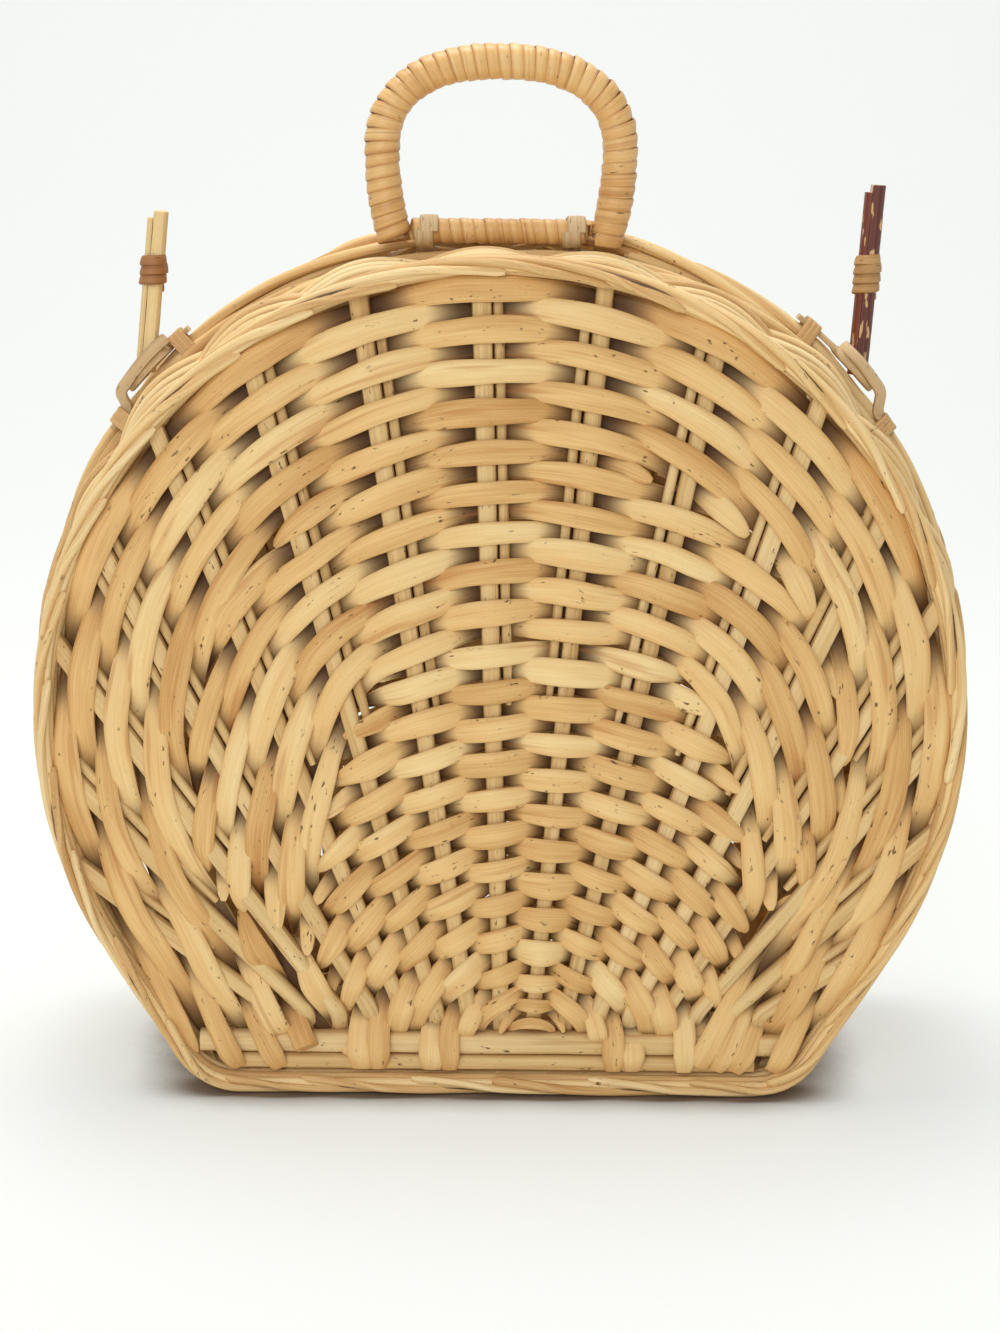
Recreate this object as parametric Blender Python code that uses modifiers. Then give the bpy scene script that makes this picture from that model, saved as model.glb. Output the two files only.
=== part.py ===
"""Round wicker carrying case: two woven trays that close like a clam shell.

Metres, +Z up. The case stands on its flat base at z = 0, its front face looks along -Y,
and the seam between the two trays is the plane y = 0.
"""

from collections import namedtuple
from math import acos, atan2, cos, exp, hypot, pi, radians, sin, sqrt

import bmesh
import bpy
from mathutils import Matrix, Vector
from mathutils.geometry import delaunay_2d_cdt

# Outline of the case, seen from the front
BACK_SEAM_RADIUS = 0.195
FRONT_SEAM_STEP = 0.004
FACE_STEP = 0.012
CIRCLE_HEIGHT = 0.153
CORNER_RADIUS = 0.030
FACE_HAUNCH_ANGLE = radians(-31.56)
FRONT_SEAM_HAUNCH_ANGLE = radians(-33.1)
BACK_SEAM_HAUNCH_ANGLE = radians(-40.4)
RIM_DIP = 0.007
RIM_DIP_WIDTH = 0.075

# Depth of each tray and its woven walls
SHELL_DEPTH = 0.065
FACE_DOME = 0.008
FACE_SETBACK = 0.003
WEAVE_THICKNESS = 0.0025
GAP = 0.0003

# Border rods round the face and round the seam
FACE_BORDER_WIDTH = 0.009
FACE_BORDER_DEPTH = 0.022
RIM_RADIUS = 0.0045
SEAM_GAP = 0.002

# Ribs: each is one rod bent double, so it gives two arms of the fan
RIB_RADIUS = 0.003
RIB_SEAT = 0.0007
RIB_COUNT = 8
RIB_START_MARGIN = 0.0065
RIB_FAN_OFFSET = 0.008
RIB_FAN_STEP = radians(15.5)
RIB_FAN_CENTRE = radians(85.2)

# The weave dips between the ribs, less where they stand close together
HOLLOW_DEPTH = 0.0045
HOLLOW_SLOPE = 0.34
WALL_HOLLOW_DEPTH = 0.0027
WALL_RIDGE_WIDTH = 0.010

# The two straight rods at the foot of each face
UPPER_ROD_RADIUS = 0.00425
LOWER_ROD_RADIUS = 0.0035

# Cane ties
TIE_THICKNESS = 0.0012
HINGE_TIE_WIDTH = 0.012
HINGE_TIE_SPREAD = 0.082
EYE_TIE_WIDTH = 0.008
BACK_EYE_TIE_REACH = 0.0175
FRONT_EYE_TIE_REACH = 0.025
TIE_TO_RIB = 0.0015

# Handle
HANDLE_OFFSET = -0.002
HOOP_HALF_WIDTH = 0.0467
HOOP_FOOT_HALF_WIDTH = 0.0415
HOOP_HEIGHT = 0.0650
HOOP_SHOULDER = 0.031
HOOP_SQUARENESS = 2.35
HOOP_CORE_RADIUS = 0.0056
BAR_CORE_RADIUS = 0.0036
WRAP_THICKNESS = 0.0009
STRAP_WIDTH = 0.009
STRAP_SPREAD = 0.029

# Pegs and the cane eyes that hold them
PEG_RADIUS = 0.0041
PEG_SLAT_THICKNESS = 0.0026
PEG_SLAT_SHORTER = 0.003
LEFT_PEG_ANGLE = radians(41.6)
LEFT_PEG_LENGTH = 0.064
LEFT_PEG_LEAN = radians(5.8)
LEFT_LASHING_DROP = 0.024
RIGHT_PEG_ANGLE = radians(42.7)
RIGHT_PEG_LENGTH = 0.075
RIGHT_PEG_LEAN = radians(3.2)
RIGHT_LASHING_DROP = 0.0355
LASHING_WIDTH = 0.012
LASHING_THICKNESS = 0.001
EYE_RADIUS = 0.0016
EYE_CLEARANCE = 0.0005

# Fineness of the shapes
ARC_STEPS = 40
CORNER_STEPS = 4
BASE_STEPS = 4

# The front rim and both faces are smaller than the back rim by their steps
FRONT_SEAM_RADIUS = BACK_SEAM_RADIUS - FRONT_SEAM_STEP
FACE_RADIUS = BACK_SEAM_RADIUS - FACE_STEP
# A shape is its circle's radius and the direction square to its haunch, the straight run
# from the circle to a corner of the base
FACE = (FACE_RADIUS, FACE_HAUNCH_ANGLE)
BACK_SEAM = (BACK_SEAM_RADIUS, BACK_SEAM_HAUNCH_ANGLE)
FRONT_SEAM = (FRONT_SEAM_RADIUS, FRONT_SEAM_HAUNCH_ANGLE)
CENTRE = Vector((0, CIRCLE_HEIGHT))
# The rims sit this far inside the walls' outline, so that the hinge ties clear the ground
RIM_INSET = TIE_THICKNESS + 2 * GAP
RIM_Y = SEAM_GAP / 2 + RIM_RADIUS
WALL_END_Y = SHELL_DEPTH - FACE_BORDER_DEPTH - GAP
HINGE_HEIGHT = RIM_INSET + RIM_RADIUS
HOOP_RADIUS = HOOP_CORE_RADIUS + GAP + WRAP_THICKNESS
BAR_RADIUS = BAR_CORE_RADIUS + GAP + WRAP_THICKNESS
HANDLE_Y = SEAM_GAP / 2 - GAP - HOOP_RADIUS
LOWER_ROD_HEIGHT = FACE_BORDER_WIDTH + GAP + LOWER_ROD_RADIUS
UPPER_ROD_HEIGHT = LOWER_ROD_HEIGHT + LOWER_ROD_RADIUS + GAP + UPPER_ROD_RADIUS

# A peg's side of the case, how far up the rim it stands, its length, how far it leans to the
# right, and how far its lashing lies below its top
Peg = namedtuple("Peg", "hand angle length lean lashing")
LEFT_PEG = Peg(-1, LEFT_PEG_ANGLE, LEFT_PEG_LENGTH, LEFT_PEG_LEAN, LEFT_LASHING_DROP)
RIGHT_PEG = Peg(1, RIGHT_PEG_ANGLE, RIGHT_PEG_LENGTH, RIGHT_PEG_LEAN, RIGHT_LASHING_DROP)

WILLOW = ("willow", (0.79, 0.60, 0.34, 1), 0.62)
ROD = ("border_rod", (0.84, 0.67, 0.40, 1), 0.58)
RIB = ("rib_rod", (0.68, 0.50, 0.27, 1), 0.64)
CANE = ("cane_tie", (0.52, 0.36, 0.19, 1), 0.55)
WRAP = ("handle_peel", (0.78, 0.52, 0.26, 1), 0.45)
CORE = ("handle_core", (0.60, 0.43, 0.25, 1), 0.7)
PALE_STICK = ("pale_stick", (0.80, 0.66, 0.42, 1), 0.6)
DARK_STICK = ("bark_stick", (0.17, 0.05, 0.03, 1), 0.5)
LASHING = ("peg_lashing", (0.55, 0.27, 0.10, 1), 0.5)


def clear_scene():
    for ob in list(bpy.data.objects):
        bpy.data.objects.remove(ob)


def material(spec):
    """A Principled material from its name, colour and roughness, made once."""
    name, colour, roughness = spec
    mat = bpy.data.materials.get(name) or bpy.data.materials.new(name)
    mat.use_nodes = True
    shader = mat.node_tree.nodes["Principled BSDF"]
    shader.inputs["Base Color"].default_value = colour
    shader.inputs["Roughness"].default_value = roughness
    shader.inputs["Metallic"].default_value = 0.0
    return mat


def add_object(name, data, spec, parent=None):
    ob = bpy.data.objects.new(name, data)
    bpy.data.collections["wicker_case"].objects.link(ob)
    data.materials.append(material(spec))
    if parent:
        ob.parent = parent
        ob.matrix_parent_inverse = parent.matrix_world.inverted()
    return ob


def add_empty(name, location, parent=None):
    """An empty that marks a body's joint."""
    ob = bpy.data.objects.new(name, None)
    bpy.data.collections["wicker_case"].objects.link(ob)
    ob.location = location
    bpy.context.view_layer.update()
    if parent:
        ob.parent = parent
        ob.matrix_parent_inverse = parent.matrix_world.inverted()
        bpy.context.view_layer.update()
    return ob


def smooth(mesh, angle=40):
    mesh.shade_smooth()
    mesh.set_sharp_from_angle(angle=radians(angle))


def curve_tube(points, radius, closed=False, caps=True, sides=8, radii=None):
    """Curve data for a round tube through the points."""
    curve = bpy.data.curves.new("tube", "CURVE")
    curve.dimensions = "3D"
    curve.twist_mode = "MINIMUM"
    curve.bevel_depth = radius
    curve.bevel_resolution = (sides - 4) // 2
    curve.use_fill_caps = caps and not closed
    spline = curve.splines.new("POLY")
    spline.points.add(len(points) - 1)
    for i, (place, point) in enumerate(zip(spline.points, points)):
        place.co = (*point, 1)
        place.radius = radii[i] if radii else 1.0
    spline.use_cyclic_u = closed
    return curve


def curve_to_mesh(curve, name):
    """The curve's mesh with its caps welded on."""
    guide = bpy.data.objects.new("guide", curve)
    bpy.context.scene.collection.objects.link(guide)
    evaluated = guide.evaluated_get(bpy.context.evaluated_depsgraph_get())
    mesh = bpy.data.meshes.new_from_object(evaluated)
    bpy.data.objects.remove(guide)
    bpy.data.curves.remove(curve)
    mesh.name = name
    shape = bmesh.new()
    shape.from_mesh(mesh)
    bmesh.ops.remove_doubles(shape, verts=shape.verts, dist=1e-6)
    bmesh.ops.recalc_face_normals(shape, faces=shape.faces)
    shape.to_mesh(mesh)
    shape.free()
    smooth(mesh)
    return mesh


def add_tube(name, points, radius, spec, parent, **options):
    mesh = curve_to_mesh(curve_tube(points, radius, **options), name)
    return add_object(name, mesh, spec, parent)


def corner_spread(shape):
    """How far a corner's centre lies from the middle."""
    radius, haunch = shape
    drop = CORNER_RADIUS - CIRCLE_HEIGHT
    return (radius - CORNER_RADIUS - drop * sin(haunch)) / cos(haunch)


def rim_facet():
    """How far the rims' straight facets cut inside their true circle."""
    turn = (pi - 2 * BACK_SEAM_HAUNCH_ANGLE) / ARC_STEPS
    return BACK_SEAM_RADIUS * (1 - cos(turn / 2))


def rim_height(x):
    """Height of the back rim's centre line near the top."""
    return CIRCLE_HEIGHT + sqrt((BACK_SEAM_RADIUS - RIM_INSET - RIM_RADIUS) ** 2 - x**2)


def strap_bulge(x):
    """How much a handle strap, square to the bar, is widened by the slope of the rim."""
    return rim_facet() + STRAP_WIDTH / 2 * abs(x) / (rim_height(x) - CIRCLE_HEIGHT)


# The arms of the fan share the base between its corners, less a margin at each end
RIB_START_SPACING = 2 * (corner_spread(FACE) - RIB_START_MARGIN) / (2 * RIB_COUNT - 1)

# The ties pass between rim and wall with a gap on both sides
TIE_ROOM = strap_bulge(STRAP_SPREAD + abs(HANDLE_OFFSET)) + TIE_THICKNESS + 2 * GAP
WALL_START_Y = SEAM_GAP / 2 + 2 * RIM_RADIUS + TIE_ROOM
WALL_SLANT = hypot(1, (BACK_SEAM_RADIUS - FACE_RADIUS) / (WALL_END_Y - WALL_START_Y))


def outline(shape, inset=0.0):
    """Points of a closed outline: a circle, two haunches, rounded corners and a flat base.

    inset moves the whole outline inwards.
    """
    radius, haunch = shape
    spread = corner_spread(shape)
    corner = Vector((spread, CORNER_RADIUS))
    points = []
    for i in range(ARC_STEPS + 1):
        angle = haunch + (pi - 2 * haunch) * i / ARC_STEPS
        points.append(CENTRE + (radius - inset) * Vector((cos(angle), sin(angle))))
    left = []
    for i in range(CORNER_STEPS + 1):
        angle = haunch - (haunch + pi / 2) * i / CORNER_STEPS
        arm = (CORNER_RADIUS - inset) * Vector((-cos(angle), sin(angle)))
        left.append(Vector((-corner.x, corner.y)) + arm)
    points += left
    for i in range(1, BASE_STEPS):
        points.append(Vector((spread * (2 * i / BASE_STEPS - 1), inset)))
    points += [Vector((-p.x, p.y)) for p in reversed(left)]
    return points


def rim_dip(x):
    """How far the front rim is pressed down under the handle."""
    return RIM_DIP * exp(-(((x - HANDLE_OFFSET) / RIM_DIP_WIDTH) ** 2))


def dipped(points):
    """The outline with its top pressed down under the handle."""
    return [Vector((p.x, p.y - rim_dip(p.x))) if p.y > CIRCLE_HEIGHT else p for p in points]


def seam_outline(side, inset=0.0):
    """The outline at the seam of the front (side -1) or back (side 1) tray."""
    return dipped(outline(FRONT_SEAM, inset)) if side < 0 else outline(BACK_SEAM, inset)


def gauge(point, loop):
    """0 at the circle's centre and 1 on the convex loop."""
    best = 0.0
    for a, b in zip(loop, loop[1:] + loop[:1]):
        normal = Vector((b.y - a.y, a.x - b.x))
        best = max(best, normal.dot(point - CENTRE) / normal.dot(a - CENTRE))
    return best


def ray_end(start, direction, loop):
    """Where a ray from inside the loop meets it."""
    best = None
    for a, b in zip(loop, loop[1:] + loop[:1]):
        edge = b - a
        cross = direction.x * edge.y - direction.y * edge.x
        if abs(cross) < 1e-12:
            continue
        away = ((a.x - start.x) * edge.y - (a.y - start.y) * edge.x) / cross
        along = ((a.x - start.x) * direction.y - (a.y - start.y) * direction.x) / cross
        if away > 0 and -1e-9 <= along <= 1 + 1e-9 and (best is None or away < best):
            best = away
    return start + direction * best


def border_half_width_at(y):
    """Half the width of the face border's oval section at a depth y."""
    middle = SHELL_DEPTH - FACE_BORDER_DEPTH / 2
    share = min(1.0, abs(y - middle) / (FACE_BORDER_DEPTH / 2))
    return FACE_BORDER_WIDTH / 2 * sqrt(1 - share**2)


SKIN_BACK_Y = SHELL_DEPTH - FACE_SETBACK - WEAVE_THICKNESS
SKIN_INSET = FACE_BORDER_WIDTH / 2 + border_half_width_at(SKIN_BACK_Y) + GAP
SKIN_LOOP = outline(FACE, SKIN_INSET)


def face_depth(point):
    """How far the domed front surface of a face lies from the seam plane."""
    return SHELL_DEPTH - FACE_SETBACK + FACE_DOME * max(0.0, 1 - gauge(point, SKIN_LOOP) ** 2)


def lofted_mesh(name, rings):
    """A closed surface through rings of equally many points, from the last back to the first."""
    shape = bmesh.new()
    loops = [[shape.verts.new(p) for p in ring] for ring in rings]
    count = len(loops[0])
    for inner, outer in zip(loops, loops[1:] + loops[:1]):
        for i in range(count):
            j = (i + 1) % count
            shape.faces.new((inner[i], inner[j], outer[j], outer[i]))
    bmesh.ops.recalc_face_normals(shape, faces=shape.faces)
    mesh = bpy.data.meshes.new(name)
    shape.to_mesh(mesh)
    shape.free()
    smooth(mesh)
    return mesh


def fan_line(index):
    """Foot and direction of an arm of the fan, or of the line midway between two arms."""
    place = RIB_COUNT - 0.5 - index
    foot = Vector((RIB_FAN_OFFSET + RIB_START_SPACING * place, rib_foot_height()))
    angle = RIB_FAN_CENTRE - RIB_FAN_STEP * place
    aim = CENTRE + (FACE_RADIUS - FACE_BORDER_WIDTH) * Vector((cos(angle), sin(angle)))
    return foot, (aim - foot).normalized()


def rib_foot_height():
    return UPPER_ROD_HEIGHT + UPPER_ROD_RADIUS + GAP + RIB_RADIUS + RIB_START_SPACING / 2


def fan_chain(index, hollow):
    """Points over one arm, or down the hollow between two, each with the face's depth there."""
    foot, direction = fan_line(index)
    end = ray_end(foot, direction, outline(FACE, FACE_BORDER_WIDTH + RIB_SEAT + 2 * RIB_RADIUS))
    below = foot - Vector((0, RIB_START_SPACING / 2 + RIB_RADIUS))
    chain = [(below, face_depth(foot)), (foot, face_depth(foot))]
    for share in (0.25, 0.5, 0.75, 1):
        p = foot.lerp(end, share)
        depth = face_depth(p)
        if hollow:
            reach = []
            for neighbour in (index - 0.5, index + 0.5):
                start, along = fan_line(neighbour)
                reach.append(abs(along.cross(p - start)))
            depth -= min(HOLLOW_DEPTH, HOLLOW_SLOPE * min(reach))
        chain.append((p, depth))
    return chain


def add_face_weave(prefix, side, parent):
    """The domed woven panel of one face, with a ridge over each rib and a hollow between ribs."""
    places = [(p, face_depth(p)) for p in SKIN_LOOP]
    rim = list(range(len(places)))
    folds = []
    for half in range(4 * RIB_COUNT - 1):
        chain = fan_chain(half / 2, half % 2 == 1)
        first = len(places)
        folds += [(first + i, first + i + 1) for i in range(len(chain) - 1)]
        places += chain
    flat = [p for p, depth in places]
    verts, _, faces, sources, _, _ = delaunay_2d_cdt(flat, folds, [rim], 1, 1e-7)
    depths = [places[source[0]][1] for source in sources]
    shape = bmesh.new()
    front = [shape.verts.new((p.x, side * d, p.y)) for p, d in zip(verts, depths)]
    back = [shape.verts.new((p.x, side * (d - WEAVE_THICKNESS), p.y)) for p, d in zip(verts, depths)]
    for face in faces:
        shape.faces.new([front[i] for i in face])
        shape.faces.new([back[i] for i in reversed(face)])
    pairs = dict(zip(front, back))
    for edge in [e for e in shape.edges if len(e.link_faces) == 1 and e.verts[0] in pairs]:
        a, b = edge.verts
        shape.faces.new((a, b, pairs[b], pairs[a]))
    bmesh.ops.recalc_face_normals(shape, faces=shape.faces)
    mesh = bpy.data.meshes.new(prefix + "_face_weave")
    shape.to_mesh(mesh)
    shape.free()
    smooth(mesh, 25)
    add_object(prefix + "_face_weave", mesh, WILLOW, parent)


def wall_loop(side, y, inset):
    """The side wall's outline at a depth y, between the face and the seam."""
    share = (y - WALL_START_Y) / (WALL_END_Y - WALL_START_Y)
    share = min(1.0, max(0.0, share))
    near = seam_outline(side, inset)
    far = outline(FACE, inset)
    return [a.lerp(b, share) for a, b in zip(near, far)]


def wall_stations():
    """Rays to both edges of the wall's ridge over each rib and to the hollow between two."""
    stations = []
    for half in range(4 * RIB_COUNT - 1):
        foot, direction = fan_line(half / 2)
        if half % 2:
            stations.append((foot, direction, WALL_HOLLOW_DEPTH))
            continue
        across = Vector((direction.y, -direction.x)) * WALL_RIDGE_WIDTH / 2
        stations += [(foot + across, direction, 0), (foot - across, direction, 0)]
    return stations


def wall_ring(side, y, depth, stations, kept):
    """An outline at a depth under the wall's surface: over the ribs, then along the plain base."""
    ring = []
    for start, direction, hollow in stations:
        ring.append(ray_end(start, direction, wall_loop(side, y, depth + hollow)))
    plain = wall_loop(side, y, depth)
    ring += [plain[i] for i in kept]
    return [(p.x, side * y, p.y) for p in ring]


def add_side_weave(prefix, side, parent):
    """The woven wall between the face border and the rim."""
    stations = wall_stations()
    plain = outline(FACE)
    right, left = (ray_end(*stations[i][:2], plain).y - WALL_RIDGE_WIDTH / 2 for i in (0, -1))
    kept = [i for i, p in enumerate(plain) if p.y < (right if p.x > 0 else left)]
    kept = [i for i in kept if i > ARC_STEPS / 2] + [i for i in kept if i <= ARC_STEPS / 2]
    middle = (WALL_START_Y + WALL_END_Y) / 2
    inside = WEAVE_THICKNESS * WALL_SLANT
    rings = [wall_ring(side, y, 0, stations, kept) for y in (WALL_START_Y, middle, WALL_END_Y)]
    rings += [wall_ring(side, y, inside, stations, kept) for y in (WALL_END_Y, middle, WALL_START_Y)]
    mesh = lofted_mesh(prefix + "_side_weave", rings)
    add_object(prefix + "_side_weave", mesh, WILLOW, parent)


def add_face_border(prefix, side, parent):
    """The oval bundle of rods round the face."""
    y = side * (SHELL_DEPTH - FACE_BORDER_DEPTH / 2)
    points = [(p.x, 0, p.y) for p in outline(FACE, FACE_BORDER_WIDTH / 2)]
    name = prefix + "_face_border"
    mesh = curve_to_mesh(curve_tube(points, FACE_BORDER_WIDTH / 2, closed=True), name)
    stretch = Matrix.Diagonal((1, FACE_BORDER_DEPTH / FACE_BORDER_WIDTH, 1, 1))
    mesh.transform(Matrix.Translation((0, y, 0)) @ stretch)
    add_object(name, mesh, ROD, parent)


def add_seam_border(prefix, side, parent):
    """The round rim of the tray at the seam."""
    points = [(p.x, side * RIM_Y, p.y) for p in seam_outline(side, RIM_INSET + RIM_RADIUS)]
    add_tube(prefix + "_seam_border", points, RIM_RADIUS, ROD, parent, closed=True)


def add_base_rods(prefix, side, parent):
    """The two straight rods at the foot of a face."""
    for name, radius, height in (
        ("_base_rod_lower", LOWER_ROD_RADIUS, LOWER_ROD_HEIGHT),
        ("_base_rod_upper", UPPER_ROD_RADIUS, UPPER_ROD_HEIGHT),
    ):
        corner = CORNER_RADIUS - FACE_BORDER_WIDTH - GAP
        drop = max(0.0, CORNER_RADIUS - (height - radius))
        half = corner_spread(FACE) + sqrt(max(0.0, corner**2 - drop**2))
        y = side * (SKIN_BACK_Y - GAP - radius)
        add_tube(prefix + name, [(-half, y, height), (half, y, height)], radius, RIB, parent, sides=12)


def rib_arm(side, index):
    """One arm of the fan, from its foot on the base rods to its tip against the rim."""
    foot, direction = fan_line(index)
    turn_inset = FACE_BORDER_WIDTH + RIB_SEAT + RIB_RADIUS
    end = ray_end(foot, direction, outline(FACE, turn_inset + RIB_RADIUS))
    points = []
    for share in (0, 0.25, 0.5, 0.75, 1):
        p = foot.lerp(end, share)
        points.append((p.x, side * (face_depth(p) - WEAVE_THICKNESS - RIB_SEAT - RIB_RADIUS), p.y))
    corner = ray_end(foot, direction, outline(FACE, turn_inset))
    points.append((corner.x, side * (SKIN_BACK_Y - RIB_SEAT - 3 * RIB_RADIUS), corner.y))
    points.append((corner.x, side * (WALL_END_Y - RIB_RADIUS), corner.y))
    wall_inset = (WEAVE_THICKNESS + RIB_SEAT + RIB_RADIUS) * WALL_SLANT
    for y in (WALL_END_Y - 4 * RIB_RADIUS, WALL_START_Y, RIM_Y + RIM_RADIUS + GAP):
        p = ray_end(foot, direction, wall_loop(side, y, wall_inset))
        points.append((p.x, side * y, p.y))
    return points


def add_ribs(prefix, side, parent):
    """The ribs of one tray, each a rod bent double on the base rods."""
    for i in range(RIB_COUNT):
        right = rib_arm(side, 2 * i)
        left = rib_arm(side, 2 * i + 1)
        foot = (Vector(right[0]) + Vector(left[0])) / 2
        turn = []
        for k in range(1, 4):
            angle = -pi * k / 4
            turn.append(foot + RIB_START_SPACING / 2 * Vector((cos(angle), 0, sin(angle))))
        name = f"{prefix}_rib_{i + 1}"
        add_tube(name, list(reversed(right)) + turn + left, RIB_RADIUS, RIB, parent, sides=6)


def circle_hull(circles, margin):
    """The outline of a band pulled round parallel members, each (x, y, radius)."""
    points = []
    for x, y, radius in circles:
        for i in range(24):
            angle = 2 * pi * (i + 0.5) / 24
            r = (radius + margin) / cos(pi / 24)
            points.append((x + r * cos(angle), y + r * sin(angle)))
    points.sort()

    def half(ordered):
        chain = []
        for p in ordered:
            while len(chain) > 1:
                (ax, ay), (bx, by) = chain[-2:]
                if (bx - ax) * (p[1] - ay) - (by - ay) * (p[0] - ax) > 0:
                    break
                chain.pop()
            chain.append(p)
        return chain[:-1]

    return half(points) + half(points[::-1])


def flat_shape(name, loops, width):
    """A flat outline, with any holes, made width thick about its own plane."""
    curve = bpy.data.curves.new(name, "CURVE")
    curve.dimensions = "2D"
    curve.fill_mode = "BOTH"
    curve.extrude = width / 2
    for loop in loops:
        spline = curve.splines.new("POLY")
        spline.points.add(len(loop) - 1)
        for place, point in zip(spline.points, loop):
            place.co = (*point, 0, 1)
        spline.use_cyclic_u = True
    return curve_to_mesh(curve, name)


def add_band(name, circles, thickness, width, frame, spec, parent):
    """A flat band tied round parallel members. frame's Z axis runs along them."""
    loops = (circle_hull(circles, GAP + thickness), circle_hull(circles, GAP))
    mesh = flat_shape(name, loops, width)
    mesh.transform(frame)
    return add_object(name, mesh, spec, parent)


def axes(x_axis, y_axis, z_axis, origin):
    frame = Matrix((x_axis, y_axis, z_axis)).transposed().to_4x4()
    frame.translation = origin
    return frame


def add_hinge_ties(parent):
    """Cane bands round both rims at the base: the trays turn in them."""
    frame_y, frame_z, frame_x = Vector((0, 1, 0)), Vector((0, 0, 1)), Vector((1, 0, 0))
    members = [(-RIM_Y, 0, RIM_RADIUS), (RIM_Y, 0, RIM_RADIUS)]
    for name, x in (("left", -HINGE_TIE_SPREAD), ("centre", 0), ("right", HINGE_TIE_SPREAD)):
        frame = axes(frame_y, frame_z, frame_x, Vector((x, 0, HINGE_HEIGHT)))
        add_band("hinge_tie_" + name, members, TIE_THICKNESS, HINGE_TIE_WIDTH, frame, CANE, parent)


def rim_crown(x):
    """Height of the front rim's top under the handle."""
    return CIRCLE_HEIGHT + sqrt((FRONT_SEAM_RADIUS - RIM_INSET) ** 2 - x**2) - rim_dip(x)


# The bar lies on its straps, which pass between it and the front rim
BAR_HEIGHT = rim_crown(HANDLE_OFFSET) + 2 * GAP + TIE_THICKNESS + BAR_RADIUS


def hoop_points():
    """Centre line of the handle's hoop, from foot to foot."""
    points = []
    foot = BAR_HEIGHT - BAR_CORE_RADIUS
    shoulder = BAR_HEIGHT + HOOP_SHOULDER
    for i in range(5):
        share = i / 5
        width = HOOP_HALF_WIDTH - (HOOP_HALF_WIDTH - HOOP_FOOT_HALF_WIDTH) * (1 - share) ** 2
        points.append((-width, foot + (shoulder - foot) * share))
    rise = HOOP_HEIGHT - HOOP_SHOULDER
    for i in range(17):
        angle = pi - pi * i / 16
        x = abs(cos(angle)) ** (2 / HOOP_SQUARENESS) * HOOP_HALF_WIDTH
        z = abs(sin(angle)) ** (2 / HOOP_SQUARENESS) * rise
        points.append((x if cos(angle) > 0 else -x, shoulder + z))
    points += [(-x, z) for x, z in reversed(points[:5])]
    return [(x + HANDLE_OFFSET, HANDLE_Y, z) for x, z in points]


def add_wrap(name, points, radius, parent, sides=8):
    """A sleeve of wound peel round a core."""
    mesh = curve_to_mesh(curve_tube(points, radius, caps=False, sides=sides), name)
    ob = add_object(name, mesh, WRAP, parent)
    thick = ob.modifiers.new("thickness", "SOLIDIFY")
    thick.thickness = WRAP_THICKNESS
    thick.offset = -1


def add_handle(parent):
    """The hoop, its bar and the peel wound round both."""
    points = hoop_points()
    add_tube("handle_hoop_core", points, HOOP_CORE_RADIUS, CORE, parent)
    add_wrap("handle_hoop_wrap", points, HOOP_RADIUS, parent)
    half = HOOP_FOOT_HALF_WIDTH - HOOP_RADIUS - GAP
    ends = [(HANDLE_OFFSET + x, HANDLE_Y, BAR_HEIGHT) for x in (-half, half)]
    add_tube("handle_bar_core", ends, BAR_CORE_RADIUS, CORE, parent, sides=12)
    add_wrap("handle_bar_wrap", ends, BAR_RADIUS, parent, sides=12)


def add_handle_straps(parent):
    """Flat cane bands that tie the handle's bar to the back rim."""
    for name, side in (("left", -1), ("right", 1)):
        x = HANDLE_OFFSET + side * STRAP_SPREAD
        bar = (HANDLE_Y, BAR_HEIGHT, BAR_RADIUS)
        members = [bar, (RIM_Y, rim_height(x), RIM_RADIUS + strap_bulge(x))]
        frame = axes(Vector((0, 1, 0)), Vector((0, 0, 1)), Vector((1, 0, 0)), Vector((x, 0, 0)))
        add_band("handle_strap_" + name, members, TIE_THICKNESS, STRAP_WIDTH, frame, CANE, parent)


def tray_rim(side):
    """Outer radius of a tray's rim."""
    return (FRONT_SEAM_RADIUS if side < 0 else BACK_SEAM_RADIUS) - RIM_INSET


def peg_frame(peg):
    """Foot on the rim and the peg's own direction."""
    rim = tray_rim(1)
    foot = Vector((peg.hand * rim * cos(peg.angle), 0, CIRCLE_HEIGHT + rim * sin(peg.angle)))
    return foot, Vector((sin(peg.lean), 0, cos(peg.lean)))


def rim_place(peg, arc, y, height, rim):
    """A point at an arc length up the rim from the peg's foot, and a height above the rim."""
    turn = peg.angle + arc / rim
    reach = rim + height
    return Vector((peg.hand * reach * cos(turn), y, CIRCLE_HEIGHT + reach * sin(turn)))


def peg_seat(peg):
    """How far up its axis the peg's square end clears both rims."""
    foot, along = peg_frame(peg)
    across = Vector((along.z, 0, -along.x))
    low, high = 0.0, 4 * PEG_RADIUS
    for _ in range(40):
        seat = (low + high) / 2
        clear = min(rim_clearance(foot + along * seat, across, k) for k in range(24))
        low, high = (seat, high) if clear < GAP else (low, seat)
    return high


def rim_clearance(centre, across, k):
    """Distance from one point of the peg's end to the nearer rim."""
    angle = 2 * pi * k / 24
    p = centre + PEG_RADIUS * (cos(angle) * across + sin(angle) * Vector((0, 1, 0)))
    gaps = []
    for side in (-1, 1):
        off_line = hypot(p.x, p.z - CIRCLE_HEIGHT) - (tray_rim(side) - RIM_RADIUS)
        gaps.append(hypot(off_line, p.y - side * RIM_Y) - RIM_RADIUS)
    return min(gaps)


def peg_crossing(peg, height):
    """Arc length up the rim at which the peg's axis passes a height above the back rim."""
    along = peg_frame(peg)[1]
    outward = Vector((peg.hand * cos(peg.angle), 0, sin(peg.angle)))
    upward = Vector((-peg.hand * sin(peg.angle), 0, cos(peg.angle)))
    return height * along.dot(upward) / along.dot(outward), along.dot(outward)


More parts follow.
